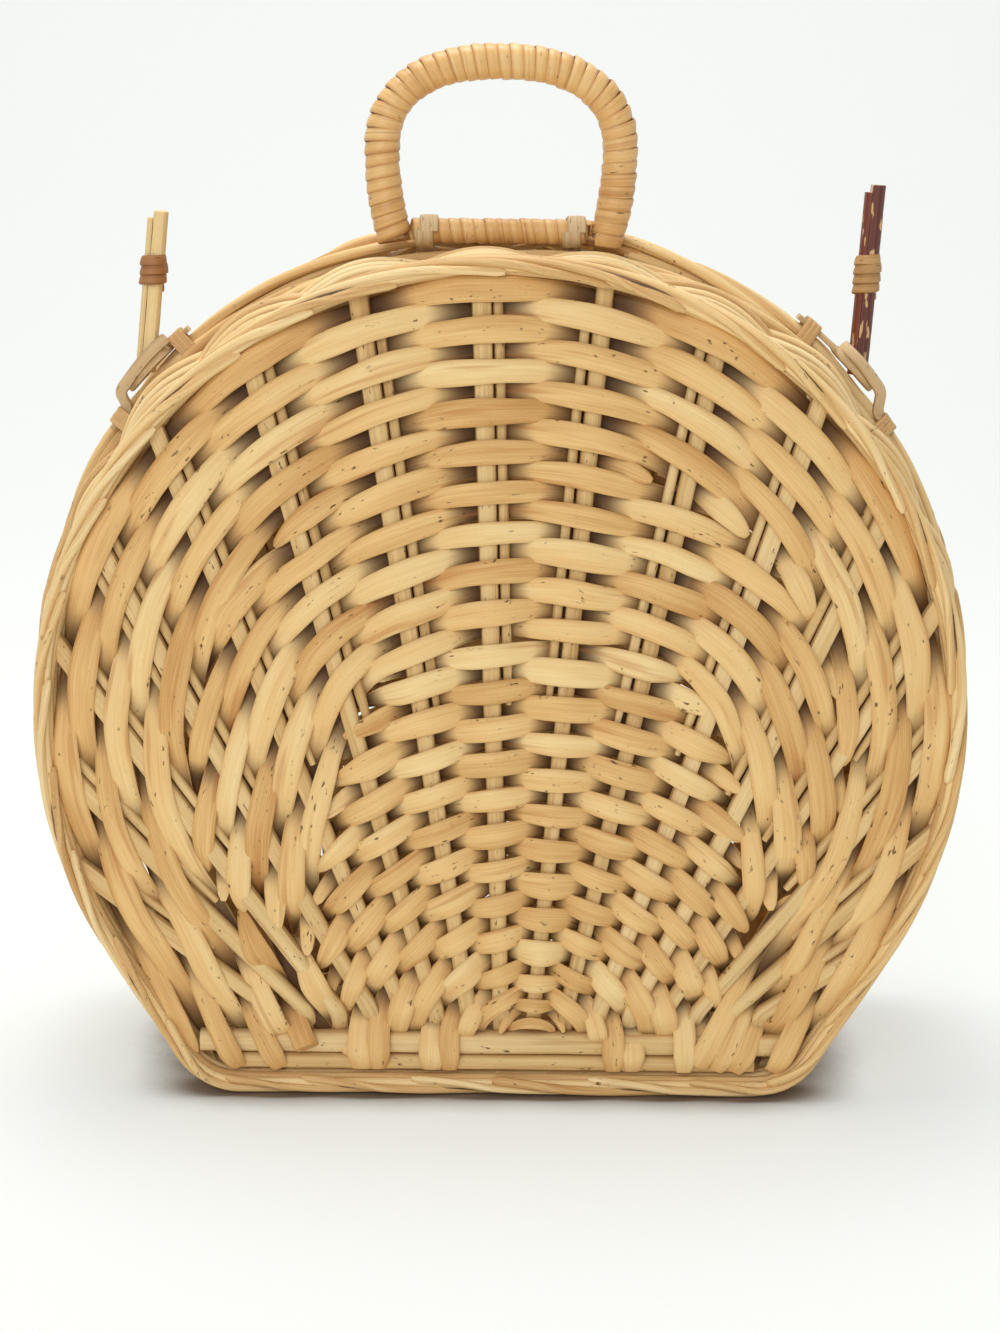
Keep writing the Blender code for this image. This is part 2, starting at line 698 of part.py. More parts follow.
def clear_of_ribs(side, peg, arc, step):
    """The first place from an arc length on, upwards or downwards, where an eye tie clears the ribs."""
    room = EYE_TIE_WIDTH / 2 + RIB_RADIUS + TIE_TO_RIB
    tips = []
    for index in range(2 * RIB_COUNT):
        tip = rib_arm(side, index)[-1]
        angle = atan2(tip[2] - CIRCLE_HEIGHT, peg.hand * tip[0])
        tips.append((angle - peg.angle) * tray_rim(side))
    for tip in sorted(tips, reverse=step < 0):
        if abs(arc - tip) < room:
            arc = tip + step * room
    return arc


def add_eye_tie(name, side, peg, arc, strands, parent):
    """The cane whipping that ties an eye's tail to its rim. strands are (y, height) pairs."""
    rim = tray_rim(side)
    centre = rim_place(peg, arc, 0, -RIM_RADIUS, rim)
    outward = (centre - Vector((0, 0, CIRCLE_HEIGHT))).normalized()
    along = outward.cross(Vector((0, 1, 0)))
    bend = EYE_TIE_WIDTH**2 / (8 * rim)
    members = [(side * RIM_Y, 0, RIM_RADIUS + bend + rim_facet())]
    members += [(y, RIM_RADIUS + height, EYE_RADIUS + bend) for y, height in strands]
    frame = axes(Vector((0, 1, 0)), outward, -along, centre)
    add_band(name, members, TIE_THICKNESS, EYE_TIE_WIDTH, frame, CANE, parent)


def eye_half_sizes(straightness):
    """Half the length and half the width of an eye's centre line round the slanting peg."""
    margin = EYE_CLEARANCE + EYE_RADIUS
    return PEG_RADIUS / straightness + margin, PEG_RADIUS + margin


def add_back_eye(name, peg, parent):
    """A closed cane eye that lies along the rims, with its tail tied to the back rim above."""
    rim = tray_rim(1)
    lie = GAP + EYE_RADIUS
    arc, straightness = peg_crossing(peg, lie)
    half_length, half_width = eye_half_sizes(straightness)
    spread = EYE_RADIUS + GAP / 2
    tail_lie = sqrt((RIM_RADIUS + EYE_RADIUS + GAP) ** 2 - spread**2) - RIM_RADIUS
    tie_arc = clear_of_ribs(1, peg, arc + BACK_EYE_TIE_REACH, 1)
    tail_start = tie_arc - EYE_TIE_WIDTH / 2 - EYE_RADIUS
    tail_end = tie_arc + EYE_TIE_WIDTH / 2 + EYE_RADIUS
    route = [(tail_end, RIM_Y + spread, tail_lie), (tail_start, RIM_Y + spread, tail_lie)]
    for i in range(13):
        turn = pi * (0.5 - i / 12)
        route.append((arc - half_length * cos(turn), half_width * sin(turn), lie))
    route.append((arc + half_length + EYE_RADIUS, EYE_RADIUS - half_width, lie + GAP))
    route += [(tail_start, RIM_Y - spread, tail_lie), (tail_end, RIM_Y - spread, tail_lie)]
    points = [rim_place(peg, a, y, h, rim) for a, y, h in route]
    add_tube("back_eye_" + name, points, EYE_RADIUS, CANE, parent)
    strands = [(RIM_Y + spread, tail_lie), (RIM_Y - spread, tail_lie)]
    add_eye_tie("back_eye_tie_" + name, 1, peg, tie_arc, strands, parent)


def add_front_eye(name, peg, parent):
    """A cane hook, tied to the front rim below the peg, that passes in front of the peg."""
    rim = tray_rim(-1)
    lie = GAP + EYE_RADIUS
    back_arc, straightness = peg_crossing(peg, lie)
    half_length, half_width = eye_half_sizes(straightness)
    back_eye_end = back_arc - half_length - EYE_RADIUS
    arc = peg_crossing(peg, lie + 2 * EYE_RADIUS + GAP)[0]
    crest = tray_rim(1) - rim + lie + 2 * EYE_RADIUS + GAP
    tie_arc = clear_of_ribs(-1, peg, arc - FRONT_EYE_TIE_REACH, -1)
    route = [
        (tie_arc - EYE_TIE_WIDTH / 2 - EYE_RADIUS, -RIM_Y, lie),
        (tie_arc + EYE_TIE_WIDTH / 2 + EYE_RADIUS, -RIM_Y, lie),
        (back_eye_end - EYE_RADIUS, -half_width, crest),
    ]
    for i in range(7):
        turn = pi / 2 * (i / 6)
        reach = half_length + EYE_CLEARANCE
        route.append((arc + reach * sin(turn), -half_width * cos(turn), crest))
    points = [rim_place(peg, a, y, h, rim) for a, y, h in route]
    add_tube("front_eye_" + name, points, EYE_RADIUS, CANE, parent)
    add_eye_tie("front_eye_tie_" + name, -1, peg, tie_arc, [(-RIM_Y, lie)], parent)


def peg_section(cut, keep_slat):
    """Half of a round stick split along a chord at cut from its middle."""
    reach = acos(cut / PEG_RADIUS)
    low, high = (pi - reach, pi + reach) if keep_slat else (pi + reach, 3 * pi - reach)
    points = []
    for i in range(13):
        angle = low + (high - low) * i / 12
        points.append((PEG_RADIUS * cos(angle), PEG_RADIUS * sin(angle)))
    return points


def add_peg(name, peg, spec, parent):
    """A split stick: a main half and a thin slat, lashed together."""
    foot, along = peg_frame(peg)
    across = Vector((along.z, 0, -along.x))
    side = along.cross(across)
    seat = peg_seat(peg)
    split = PEG_RADIUS - PEG_SLAT_THICKNESS
    for piece, cut, keep, length in (
        ("stick", split - GAP / 2, False, peg.length),
        ("slat", split + GAP / 2, True, peg.length - PEG_SLAT_SHORTER),
    ):
        mesh = flat_shape(name + "_peg_" + piece, [peg_section(cut, keep)], length)
        mesh.transform(axes(across, side, along, foot + along * (seat + length / 2)))
        add_object(name + "_peg_" + piece, mesh, spec, parent)
    place = foot + along * (seat + peg.length - peg.lashing)
    frame = axes(across, side, along, place)
    band = [(0, 0, PEG_RADIUS)]
    add_band(name + "_peg_lashing", band, LASHING_THICKNESS, LASHING_WIDTH, frame, LASHING, parent)


def add_tray(prefix, side, body):
    """One woven tray: face, wall, border, rim, base rods and ribs."""
    add_face_weave(prefix, side, body)
    add_side_weave(prefix, side, body)
    add_face_border(prefix, side, body)
    add_seam_border(prefix, side, body)
    add_base_rods(prefix, side, body)
    add_ribs(prefix, side, body)


def main():
    clear_scene()
    bpy.context.scene.collection.children.link(bpy.data.collections.new("wicker_case"))
    back = add_empty("back_tray", (0, 0, 0))
    ties = add_empty("hinge_ties", (0, RIM_Y, HINGE_HEIGHT), back)
    front = add_empty("front_tray", (0, -RIM_Y, HINGE_HEIGHT), ties)
    handle = add_empty("handle", (HANDLE_OFFSET, HANDLE_Y, BAR_HEIGHT), back)
    add_tray("back", 1, back)
    add_tray("front", -1, front)
    add_hinge_ties(ties)
    add_handle(handle)
    add_handle_straps(back)
    for name, peg, spec in (("left", LEFT_PEG, PALE_STICK), ("right", RIGHT_PEG, DARK_STICK)):
        body = add_empty(name + "_peg", peg_frame(peg)[0], back)
        add_back_eye(name, peg, back)
        add_front_eye(name, peg, front)
        add_peg(name, peg, spec, body)


main()
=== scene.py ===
"""Round wicker carrying case: the looks of its two woven trays, handle, ties and pegs.

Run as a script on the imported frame. Metres, +Z up; the front face looks along -Y and the
seam between the trays is the plane y = 0.
"""

from collections import namedtuple
from math import acos, cos, exp, hypot, pi, radians, sin, sqrt
from random import Random

import bpy
from bpy.props import FloatProperty, FloatVectorProperty, IntProperty, PointerProperty
from mathutils import Matrix, Vector


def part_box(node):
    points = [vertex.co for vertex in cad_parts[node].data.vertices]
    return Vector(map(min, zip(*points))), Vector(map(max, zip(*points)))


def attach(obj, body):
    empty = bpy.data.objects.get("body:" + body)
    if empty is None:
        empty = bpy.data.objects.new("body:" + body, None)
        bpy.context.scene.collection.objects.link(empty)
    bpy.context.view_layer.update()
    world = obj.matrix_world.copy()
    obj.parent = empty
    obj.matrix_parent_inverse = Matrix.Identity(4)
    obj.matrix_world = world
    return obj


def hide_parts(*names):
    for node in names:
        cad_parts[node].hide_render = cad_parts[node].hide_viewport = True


bl_info = {
    "name": "Wicker carrying case",
    "version": (1, 0, 0),
    "blender": (4, 5, 0),
    "location": "3D View > Sidebar > Wicker",
    "description": "Dresses the packed solids of a round wicker carrying case",
    "category": "Object",
}

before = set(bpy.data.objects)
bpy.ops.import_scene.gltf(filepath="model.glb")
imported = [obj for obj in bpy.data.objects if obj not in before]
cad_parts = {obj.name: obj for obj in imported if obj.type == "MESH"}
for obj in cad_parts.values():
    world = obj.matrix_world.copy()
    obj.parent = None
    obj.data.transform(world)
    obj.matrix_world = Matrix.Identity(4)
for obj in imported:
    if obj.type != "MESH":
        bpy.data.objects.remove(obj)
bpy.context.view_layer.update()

# The case's own sizes, as its solids have them
CENTRE = Vector((0, 0.153))
BACK_SEAM = (0.195, radians(-40.4))
FRONT_SEAM = (0.191, radians(-33.1))
FACE = (0.183, radians(-31.56))
CORNER_RADIUS = 0.030
RIM_DIP = 0.007
RIM_DIP_WIDTH = 0.075
SHELL_DEPTH = 0.065
FACE_SETBACK = 0.003
FACE_DOME = 0.008
WEAVE_THICKNESS = 0.0025
BORDER_WIDTH = 0.009
BORDER_DEPTH = 0.022
WALL_START = 0.0129
WALL_END = 0.0427
RIM_RADIUS = 0.0045
RIM_Y = 0.0055
RIM_INSET = 0.0018
RIB_RADIUS = 0.003
RIB_SEAT = 0.0007
SKIN_INSET = 0.0087
WALL_RIB_INSET = 0.00665
BASE_STAKES = (-0.090, -0.054, -0.018, 0.018, 0.054, 0.090)
LOWER_ROD_HEIGHT = 0.0128
UPPER_ROD_HEIGHT = 0.02085
RIB_FEET = (0.008, 0.013, 0.0349)
RIB_FAN = (85.2, 15.5)
HANDLE_X = -0.002
HANDLE_Y = -0.0061
BAR_HEIGHT = 0.34179
BAR_HALF_LENGTH = 0.0415
BAR_WINDING_RADIUS = 0.00425
HOOP_RADIUS = 0.0068
HOOP_WINDING_RADIUS = 0.00625
HOOP_HALF_WIDTH = 0.0467
HOOP_PINCH = 0.0052
HOOP_DROP = 0.0036
HOOP_SHOULDER = 0.031
HOOP_RISE = 0.065
HOOP_SQUARENESS = 2.35
STRAP_SPREAD = 0.029
HINGE_HEIGHT = 0.0063
TIE_CANE_WIDTH = 0.0043
HINGE_TIES = (("left", -0.082), ("centre", 0.0), ("right", 0.082))
CLOSE_GAP = 0.0003

# The beat of what is neither in front of its ribs nor behind them
LYING = 0.5
Point = namedtuple("Point", "place facing beat size lift", defaults=(LYING, 1.0, 0.0))


def colour(code):
    """Linear colour with alpha from an sRGB hex value."""
    parts = [int(code[i : i + 2], 16) / 255 for i in (1, 3, 5)]
    return [p / 12.92 if p <= 0.04045 else ((p + 0.055) / 1.055) ** 2.4 for p in parts] + [1.0]


def add_node(tree, kind, inputs=None, **settings):
    """A node with its settings, and each input given a value or linked to another's output."""
    node = tree.nodes.new(kind)
    for name, value in settings.items():
        setattr(node, name, value)
    for name, value in (inputs or {}).items():
        if isinstance(value, bpy.types.NodeSocket):
            tree.links.new(value, node.inputs[name])
        else:
            node.inputs[name].default_value = value
    return node


# Outlines of the case


def arc_outline(shape, inset=0.0, arc_steps=96, corner_steps=8):
    """Closed outline from the right haunch over the top, seen from the front."""
    radius, haunch = shape
    drop = CORNER_RADIUS - CENTRE.y
    spread = (radius - CORNER_RADIUS - drop * sin(haunch)) / cos(haunch)
    points = []
    for i in range(arc_steps + 1):
        angle = haunch + (pi - 2 * haunch) * i / arc_steps
        points.append(CENTRE + (radius - inset) * Vector((cos(angle), sin(angle))))
    left = []
    for i in range(corner_steps + 1):
        angle = haunch - (haunch + pi / 2) * i / corner_steps
        arm = (CORNER_RADIUS - inset) * Vector((-cos(angle), sin(angle)))
        left.append(Vector((-spread, CORNER_RADIUS)) + arm)
    points += left
    for i in range(1, 16):
        points.append(Vector((spread * (i / 8 - 1), inset)))
    points += [Vector((-p.x, p.y)) for p in reversed(left)]
    return points


def rim_outline(side, inset):
    """Outline at the seam; the front rim is pressed down under the handle."""
    if side > 0:
        return arc_outline(BACK_SEAM, inset)
    points = arc_outline(FRONT_SEAM, inset)
    for p in points:
        if p.y > CENTRE.y:
            p.y -= RIM_DIP * exp(-(((p.x - HANDLE_X) / RIM_DIP_WIDTH) ** 2))
    return points


def wall_outline(side, y, inset):
    """Outline of the wall at a distance y from the seam, between the rim's and the face's."""
    share = min(1.0, max(0.0, (y - WALL_START) / (WALL_END - WALL_START)))
    near = rim_outline(side, inset)
    far = arc_outline(FACE, inset)
    return [a.lerp(b, share) for a, b in zip(near, far)]


def gauge(point, loop, centre=CENTRE):
    """0 at the centre and 1 on the convex loop."""
    best = 0.0
    for a, b in zip(loop, loop[1:] + loop[:1]):
        normal = Vector((b.y - a.y, a.x - b.x))
        reach = normal.dot(a - centre)
        if abs(reach) > 1e-12:
            best = max(best, normal.dot(point - centre) / reach)
    return best


def ray_end(start, direction, loop):
    """Where a ray from inside the loop meets it."""
    best = None
    for a, b in zip(loop, loop[1:] + loop[:1]):
        edge = b - a
        cross = direction.x * edge.y - direction.y * edge.x
        if abs(cross) < 1e-12:
            continue
        away = ((a.x - start.x) * edge.y - (a.y - start.y) * edge.x) / cross
        along = ((a.x - start.x) * direction.y - (a.y - start.y) * direction.x) / cross
        if away > 0 and -1e-9 <= along <= 1 + 1e-9 and (best is None or away < best):
            best = away
    return start + direction * best


SKIN_LOOP = arc_outline(FACE, SKIN_INSET, 48, 4)
ROW_FLOOR = 0.0100
EDGE_LOOP = arc_outline(FACE, 0.0066, 48, 4)
RIB_DROP = WEAVE_THICKNESS + RIB_SEAT + RIB_RADIUS


def rib_depth(point):
    """How far the ribs' middle plane lies from the seam, behind the domed face."""
    dome = FACE_DOME * max(0.0, 1 - gauge(point, SKIN_LOOP) ** 2)
    return SHELL_DEPTH - FACE_SETBACK + dome - RIB_DROP


def running_lengths(points):
    """How far along the line each of its points lies."""
    lengths = [0.0]
    for a, b in zip(points, points[1:]):
        lengths.append(lengths[-1] + (b - a).length)
    return lengths


def resample(points, step):
    """The same line with points at an even spacing."""
    lengths = running_lengths(points)
    count = max(2, round(lengths[-1] / step))
    out = []
    j = 0
    for i in range(count + 1):
        want = lengths[-1] * i / count
        while j < len(lengths) - 2 and lengths[j + 1] < want:
            j += 1
        span = lengths[j + 1] - lengths[j]
        share = (want - lengths[j]) / span if span > 0 else 0.0
        out.append(points[j].lerp(points[j + 1], share))
    return out


def smoothed(points, passes):
    """The same line with its bends eased and its ends kept."""
    for _ in range(passes):
        inner = [(a + 2 * b + c) / 4 for a, b, c in zip(points, points[1:], points[2:])]
        points = [points[0]] + inner + [points[-1]]
    return points


# Geometry Nodes: strands swept along their guides


def strand_tree():
    """A tree that lays a strand along each guide, in front of and behind what it crosses.

    A guide carries at each point its facing, its beat (whole numbers lie on the rods that it
    crosses, even ones in front), its size and its lift off the rods.
    """
    tree = bpy.data.node_groups.get("willow_strands")
    if tree:
        return tree
    tree = bpy.data.node_groups.new("willow_strands", "GeometryNodeTree")
    panel = tree.interface
    panel.new_socket("Guides", in_out="INPUT", socket_type="NodeSocketGeometry")
    for name, default in STRAND_INPUTS.items():
        kind = "NodeSocketInt" if isinstance(default, int) else "NodeSocketFloat"
        panel.new_socket(name, in_out="INPUT", socket_type=kind).default_value = default
    panel.new_socket("Material", in_out="INPUT", socket_type="NodeSocketMaterial")
    panel.new_socket("Geometry", in_out="OUTPUT", socket_type="NodeSocketGeometry")
    given = tree.nodes.new("NodeGroupInput").outputs

    def math(operation, a, b=0.0, c=0.0):
        return add_node(tree, "ShaderNodeMath", {0: a, 1: b, 2: c}, operation=operation).outputs[0]

    def vector(operation, a, b=(0, 0, 0), **more):
        inputs = {0: a, 1: b}
        inputs.update(more)
        return add_node(tree, "ShaderNodeVectorMath", inputs, operation=operation).outputs[0]

    def read(name, kind="FLOAT"):
        return add_node(tree, "GeometryNodeInputNamedAttribute", {"Name": name}, data_type=kind).outputs[0]

    def store(geometry, name, value, kind="FLOAT"):
        inputs = {"Geometry": geometry, "Name": name, "Value": value}
        return add_node(tree, "GeometryNodeStoreNamedAttribute", inputs, data_type=kind).outputs[0]

    def scaled(a, factor):
        return vector("SCALE", a, Scale=factor)

    curves = add_node(tree, "GeometryNodeMeshToCurve", {"Mesh": given["Guides"]}).outputs[0]
    index = add_node(tree, "GeometryNodeCurveOfPoint").outputs["Curve Index"]
    length = add_node(tree, "GeometryNodeSplineParameter").outputs["Length"]
    identity = math("MULTIPLY_ADD", index, 0.7548, math("MULTIPLY", given["Seed"], 0.31))
    identity = math("FRACT", identity)
    facing = read("facing", "FLOAT_VECTOR")
    tangent = add_node(tree, "GeometryNodeInputTangent").outputs[0]
    side = vector("NORMALIZE", vector("CROSS_PRODUCT", facing, tangent))
    wave = math("COSINE", math("MULTIPLY", read("beat"), pi))

    # Slow wandering of each strand, different on every strand and the same on every run
    walk = math("MULTIPLY_ADD", identity, 91.7, math("MULTIPLY", length, given["Wander Rate"]))
    noise = add_node(
        tree, "ShaderNodeTexNoise", {"W": walk, "Scale": 1.0, "Detail": 1.5}, noise_dimensions="1D"
    )
    channels = add_node(tree, "FunctionNodeSeparateColor", {0: noise.outputs["Color"]}).outputs
    swerve = math("MULTIPLY", math("SUBTRACT", channels[0], 0.5), given["Wander"])
    swell = math("MULTIPLY_ADD", math("SUBTRACT", channels[1], 0.5), given["Unevenness"], 1.0)
    bob = math("MULTIPLY", math("SUBTRACT", channels[2], 0.5), math("MULTIPLY", given["Wander"], 0.5))
    own = add_node(tree, "FunctionNodeRandomValue", {2: 0.0, 3: 1.0, "ID": index, "Seed": given["Seed"]})
    own = math("MULTIPLY_ADD", math("SUBTRACT", own.outputs[1], 0.5), given["Variety"], 1.0)

    open_share = math("MULTIPLY_ADD", wave, 0.5, 0.5)
    full = math("SQRT", open_share)
    waist = math("MULTIPLY_ADD", full, math("SUBTRACT", 1.0, given["Waist"]), given["Waist"])
    size = math("MULTIPLY", read("size"), math("MULTIPLY", swell, own))
    half_width = math("MULTIPLY", given["Strand Width"], 0.5)
    half_width = math("MULTIPLY", half_width, math("MULTIPLY", size, waist))
    half_thick = math("MULTIPLY", given["Strand Thickness"], 0.5)
    half_thick = math("MULTIPLY", half_thick, math("SQRT", size))
    raise_by = math("ADD", math("MULTIPLY_ADD", wave, given["Weave Depth"], read("lift")), bob)
    centre = add_node(tree, "GeometryNodeInputPosition").outputs[0]
    centre = vector("ADD", centre, scaled(facing, raise_by))
    centre = vector("ADD", centre, scaled(side, swerve))

    curves = store(curves, "path_centre", centre, "FLOAT_VECTOR")
    curves = store(curves, "path_side", scaled(side, half_width), "FLOAT_VECTOR")
    curves = store(curves, "path_facing", scaled(facing, half_thick), "FLOAT_VECTOR")
    grain = add_node(tree, "ShaderNodeCombineXYZ", {0: length, 1: 0.0, 2: identity}).outputs[0]
    curves = store(curves, "grain", grain, "FLOAT_VECTOR")
    # Painted shade: recess is highest where a strand passes behind what it crosses, and the material darkens
    # it there
    curves = store(curves, "recess", math("MULTIPLY", math("SUBTRACT", 1.0, open_share), given["Recess"]))

    # The section: round, or flattened on the side that faces the rods
    ring = add_node(tree, "GeometryNodeCurvePrimitiveCircle", {"Resolution": given["Section Points"]})
    on_ring = add_node(tree, "GeometryNodeInputPosition").outputs[0]
    on_ring = add_node(tree, "ShaderNodeSeparateXYZ", {0: on_ring}).outputs
    across, outward = on_ring[0], on_ring[1]
    full = math("POWER", math("ABSOLUTE", outward), given["Flatness"])
    full = math("MULTIPLY", math("SIGN", outward), full)
    belly = math("MAXIMUM", full, math("MULTIPLY", given["Belly"], -1.0))
    place = add_node(tree, "ShaderNodeCombineXYZ", {0: across, 1: belly, 2: 0.0}).outputs[0]
    profile = store(ring.outputs[0], "section", place, "FLOAT_VECTOR")
    swept = add_node(
        tree, "GeometryNodeCurveToMesh", {"Curve": curves, "Profile Curve": profile, "Fill Caps": True}
    ).outputs[0]
    section = add_node(tree, "ShaderNodeSeparateXYZ", {0: read("section", "FLOAT_VECTOR")}).outputs
    skin = scaled(read("path_side", "FLOAT_VECTOR"), section[0])
    skin = vector("ADD", skin, read("path_centre", "FLOAT_VECTOR"))
    skin = vector("ADD", skin, scaled(read("path_facing", "FLOAT_VECTOR"), section[1]))
    swept = add_node(tree, "GeometryNodeSetPosition", {"Geometry": swept, "Position": skin}).outputs[0]
    along = add_node(tree, "ShaderNodeSeparateXYZ", {0: read("grain", "FLOAT_VECTOR")}).outputs
    grain = add_node(tree, "ShaderNodeCombineXYZ", {0: along[0], 1: section[0], 2: along[2]}).outputs[0]
    swept = store(swept, "grain", grain, "FLOAT_VECTOR")
    # The painted shade of the dips is kept to the outer side of a strand
    outer = math("MINIMUM", 1.0, math("MAXIMUM", 0.0, math("MULTIPLY_ADD", section[1], 2.0, 0.7)))
    swept = store(swept, "recess", math("MULTIPLY", read("recess"), outer))
    for name in ("path_centre", "path_side", "path_facing", "section", "facing", "beat", "size", "lift"):
        swept = add_node(tree, "GeometryNodeRemoveAttribute", {"Geometry": swept, "Name": name}).outputs[0]
    swept = add_node(tree, "GeometryNodeSetShadeSmooth", {"Geometry": swept}).outputs[0]
    swept = add_node(tree, "GeometryNodeRealizeInstances", {"Geometry": swept}).outputs[0]
    swept = add_node(
        tree, "GeometryNodeSetMaterial", {"Geometry": swept, "Material": given["Material"]}
    ).outputs[0]
    add_node(tree, "NodeGroupOutput", {"Geometry": swept})
    return tree


# Widths, thickness and depths are in metres; the wander rate is in turns of the noise a metre
STRAND_INPUTS = {
    "Strand Width": 0.0100,
    "Strand Thickness": 0.0022,
    "Weave Depth": 0.0041,
    "Waist": 0.64,
    "Belly": 0.55,
    "Flatness": 0.45,
    # Recess: how strongly a strand gets painted shade where it passes behind
    "Recess": 1.0,
    "Wander": 0.0016,
    "Wander Rate": 22.0,
    "Unevenness": 0.35,
    "Variety": 0.2,
    "Section Points": 12,
    "Seed": 1,
}


# Edges of a strand sharper than this stay crisp
SHARP_ANGLE = radians(50)

# Kinds of strand that are laid or wound, not woven
LAID = dict(weave_depth=0.0, recess=0.0, waist=1.0)
ROUND = dict(LAID, belly=1.0, flatness=1.0)


def guide_mesh(strands):
    """Edges along each strand, with the attributes that the tree reads."""
    mesh = bpy.data.meshes.new("guides")
    points = [p for strand in strands for p in strand]
    edges = []
    start = 0
    for strand in strands:
        edges += [(start + i, start + i + 1) for i in range(len(strand) - 1)]
        start += len(strand)
    mesh.from_pydata([p.place for p in points], edges, [])
    facing = mesh.attributes.new("facing", "FLOAT_VECTOR", "POINT")
    facing.data.foreach_set("vector", [v for p in points for v in p.facing])
    for name in ("beat", "size", "lift"):
        values = mesh.attributes.new(name, "FLOAT", "POINT")
        values.data.foreach_set("value", [getattr(p, name) for p in points])
    return mesh


def linked_object(name, data):
    item = bpy.data.objects.new(name, data)
    bpy.context.scene.collection.objects.link(item)
    return item


def swept_piece(name, strands, body, slot, material, replaced=(), **inputs):
    """The strands of one piece as a plain mesh that rides on its body."""
    tree = strand_tree()
    guide = linked_object("guide", guide_mesh(strands))
    sweep = guide.modifiers.new("strands", "NODES")
    sweep.node_group = tree
    values = dict(STRAND_INPUTS)
    values.update({key.replace("_", " ").title(): value for key, value in inputs.items()})
    values["Material"] = material
    for item in tree.interface.items_tree:
        if item.item_type == "SOCKET" and item.in_out == "INPUT" and item.name in values:
            sweep[item.identifier] = values[item.name]
    evaluated = guide.evaluated_get(bpy.context.evaluated_depsgraph_get())
    mesh = bpy.data.meshes.new_from_object(evaluated)
    guide.modifiers.clear()
    bpy.data.objects.remove(guide)
    mesh.name = name
    mesh.set_sharp_from_angle(angle=SHARP_ANGLE)
    piece = linked_object(name, mesh)
    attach(piece, body)
    if replaced:
        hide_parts(*replaced)
    return piece


# Rows of the face, seen from the front


def rib_line(index):
    """Foot and tip of one arm of the fan of ribs, seen from the front."""
    shift, spacing, height = RIB_FEET
    upright, spread = RIB_FAN
    place = 7.5 - index
    foot = Vector((shift + spacing * place, height))
    angle = radians(upright - spread * place)
    aim = CENTRE + (FACE[0] - BORDER_WIDTH) * Vector((cos(angle), sin(angle)))
    return foot, aim, (aim - foot).normalized()


def eased(value, low, high):
    """0 below low, 1 above high and smooth between."""
    share = min(1.0, max(0.0, (value - low) / (high - low)))
    return share * share * (3 - 2 * share)


# Outline of the inner fan of rows, from its left foot over its top to its right foot
FAN_OUTLINE = (
    (-0.047, -0.04), (-0.054, 0.006), (-0.06, 0.029), (-0.069, 0.046), (-0.0735, 0.061),
    (-0.073, 0.075), (-0.0715, 0.089), (-0.071, 0.101), (-0.0695, 0.114), (-0.066, 0.1275),
    (-0.0625, 0.141), (-0.0585, 0.1545), (-0.053, 0.166), (-0.044, 0.1755), (-0.03, 0.1825),
    (-0.0066, 0.1885), (0.019, 0.1905), (0.044, 0.188), (0.062, 0.182), (0.075, 0.173),
    (0.083, 0.162), (0.0905, 0.1425), (0.0945, 0.122), (0.097, 0.096), (0.099, 0.073),
    (0.0975, 0.06), (0.093, 0.049), (0.088, 0.038), (0.084, 0.025), (0.081, 0.012),
    (0.076, -0.04),
)
FAN_MIDDLE = Vector((0.012, 0.121))
FAN_FOOT = Vector((FAN_MIDDLE.x + 0.002, 0.022))
# Radii of the short rows round the fan's foot, closer than the rows above them
FOOT_RADII = (0.0055, 0.0095, 0.0135, 0.0175, 0.022, 0.027, 0.033)
# Where the outer rows run down past the base, below the face's own outline
ROW_TAILS = ((-0.1225, 0.0085), (-0.0985, -0.0435), (0.0985, -0.0435), (0.1225, 0.0085))
POINT_STEP = 0.0025


def fan_outline(sizes):
    middle = FAN_MIDDLE
    return [middle + sizes.fan_size * (Vector(p) - middle) for p in FAN_OUTLINE]


def ring_rows(sizes):
    """Rows between the border and the inner fan: the outer ones keep to the border, the inner
    ones to the fan, and where the room between narrows, those in the middle end.
    """
    outer = [p for p in arc_outline(FACE, BORDER_WIDTH) if p.y > 0.060]
    outer += [Vector(p) for p in ROW_TAILS]
    inner = fan_outline(sizes)
    rays = []
    # From below the left side, over the top, to below the right side, in degrees
    for i in range(641):
        turn = 246 - 0.486 * i
        way = Vector((cos(radians(turn)), sin(radians(turn))))
        far, near = ray_end(FAN_MIDDLE, way, outer), ray_end(FAN_MIDDLE, way, inner)
        # The rows lean inwards by 25 degrees towards the base, so a ray crosses them on the slant
        slant = cos(radians(max(0, turn - 205, -25 - turn)))
        count = min(sizes.ring_rows, (far - near).length * slant / sizes.row_pitch)
        # The share of the room that keeps to the border: all of it low down on both sides
        split = 0.48 + 0.52 * max(eased(turn, 194, 220), eased(-turn, 9, 34))
        rays.append((far, near, count, split))
    rows = []
    for k in range(sizes.ring_rows):
        points = []
        runs = [points]
        for far, near, count, split in rays:
            from_border = k + 0.5
            from_fan = sizes.ring_rows - k - 0.5
            if k < sizes.ring_rows / 2:
                share = from_border / count
                shown = from_border <= split * count + 0.02
            else:
                share = 1 - from_fan / count
                shown = from_fan <= (1 - split) * count + 0.02
            p = far.lerp(near, share)
            if shown and gauge(p, EDGE_LOOP) <= 1 and p.y >= ROW_FLOOR:
                points.append(p)
            elif points:
                points = []
                runs.append(points)
        for run in runs:
            if len(run) > 12:
                rows.append((k, smoothed(resample(run, POINT_STEP), 6)))
    return rows


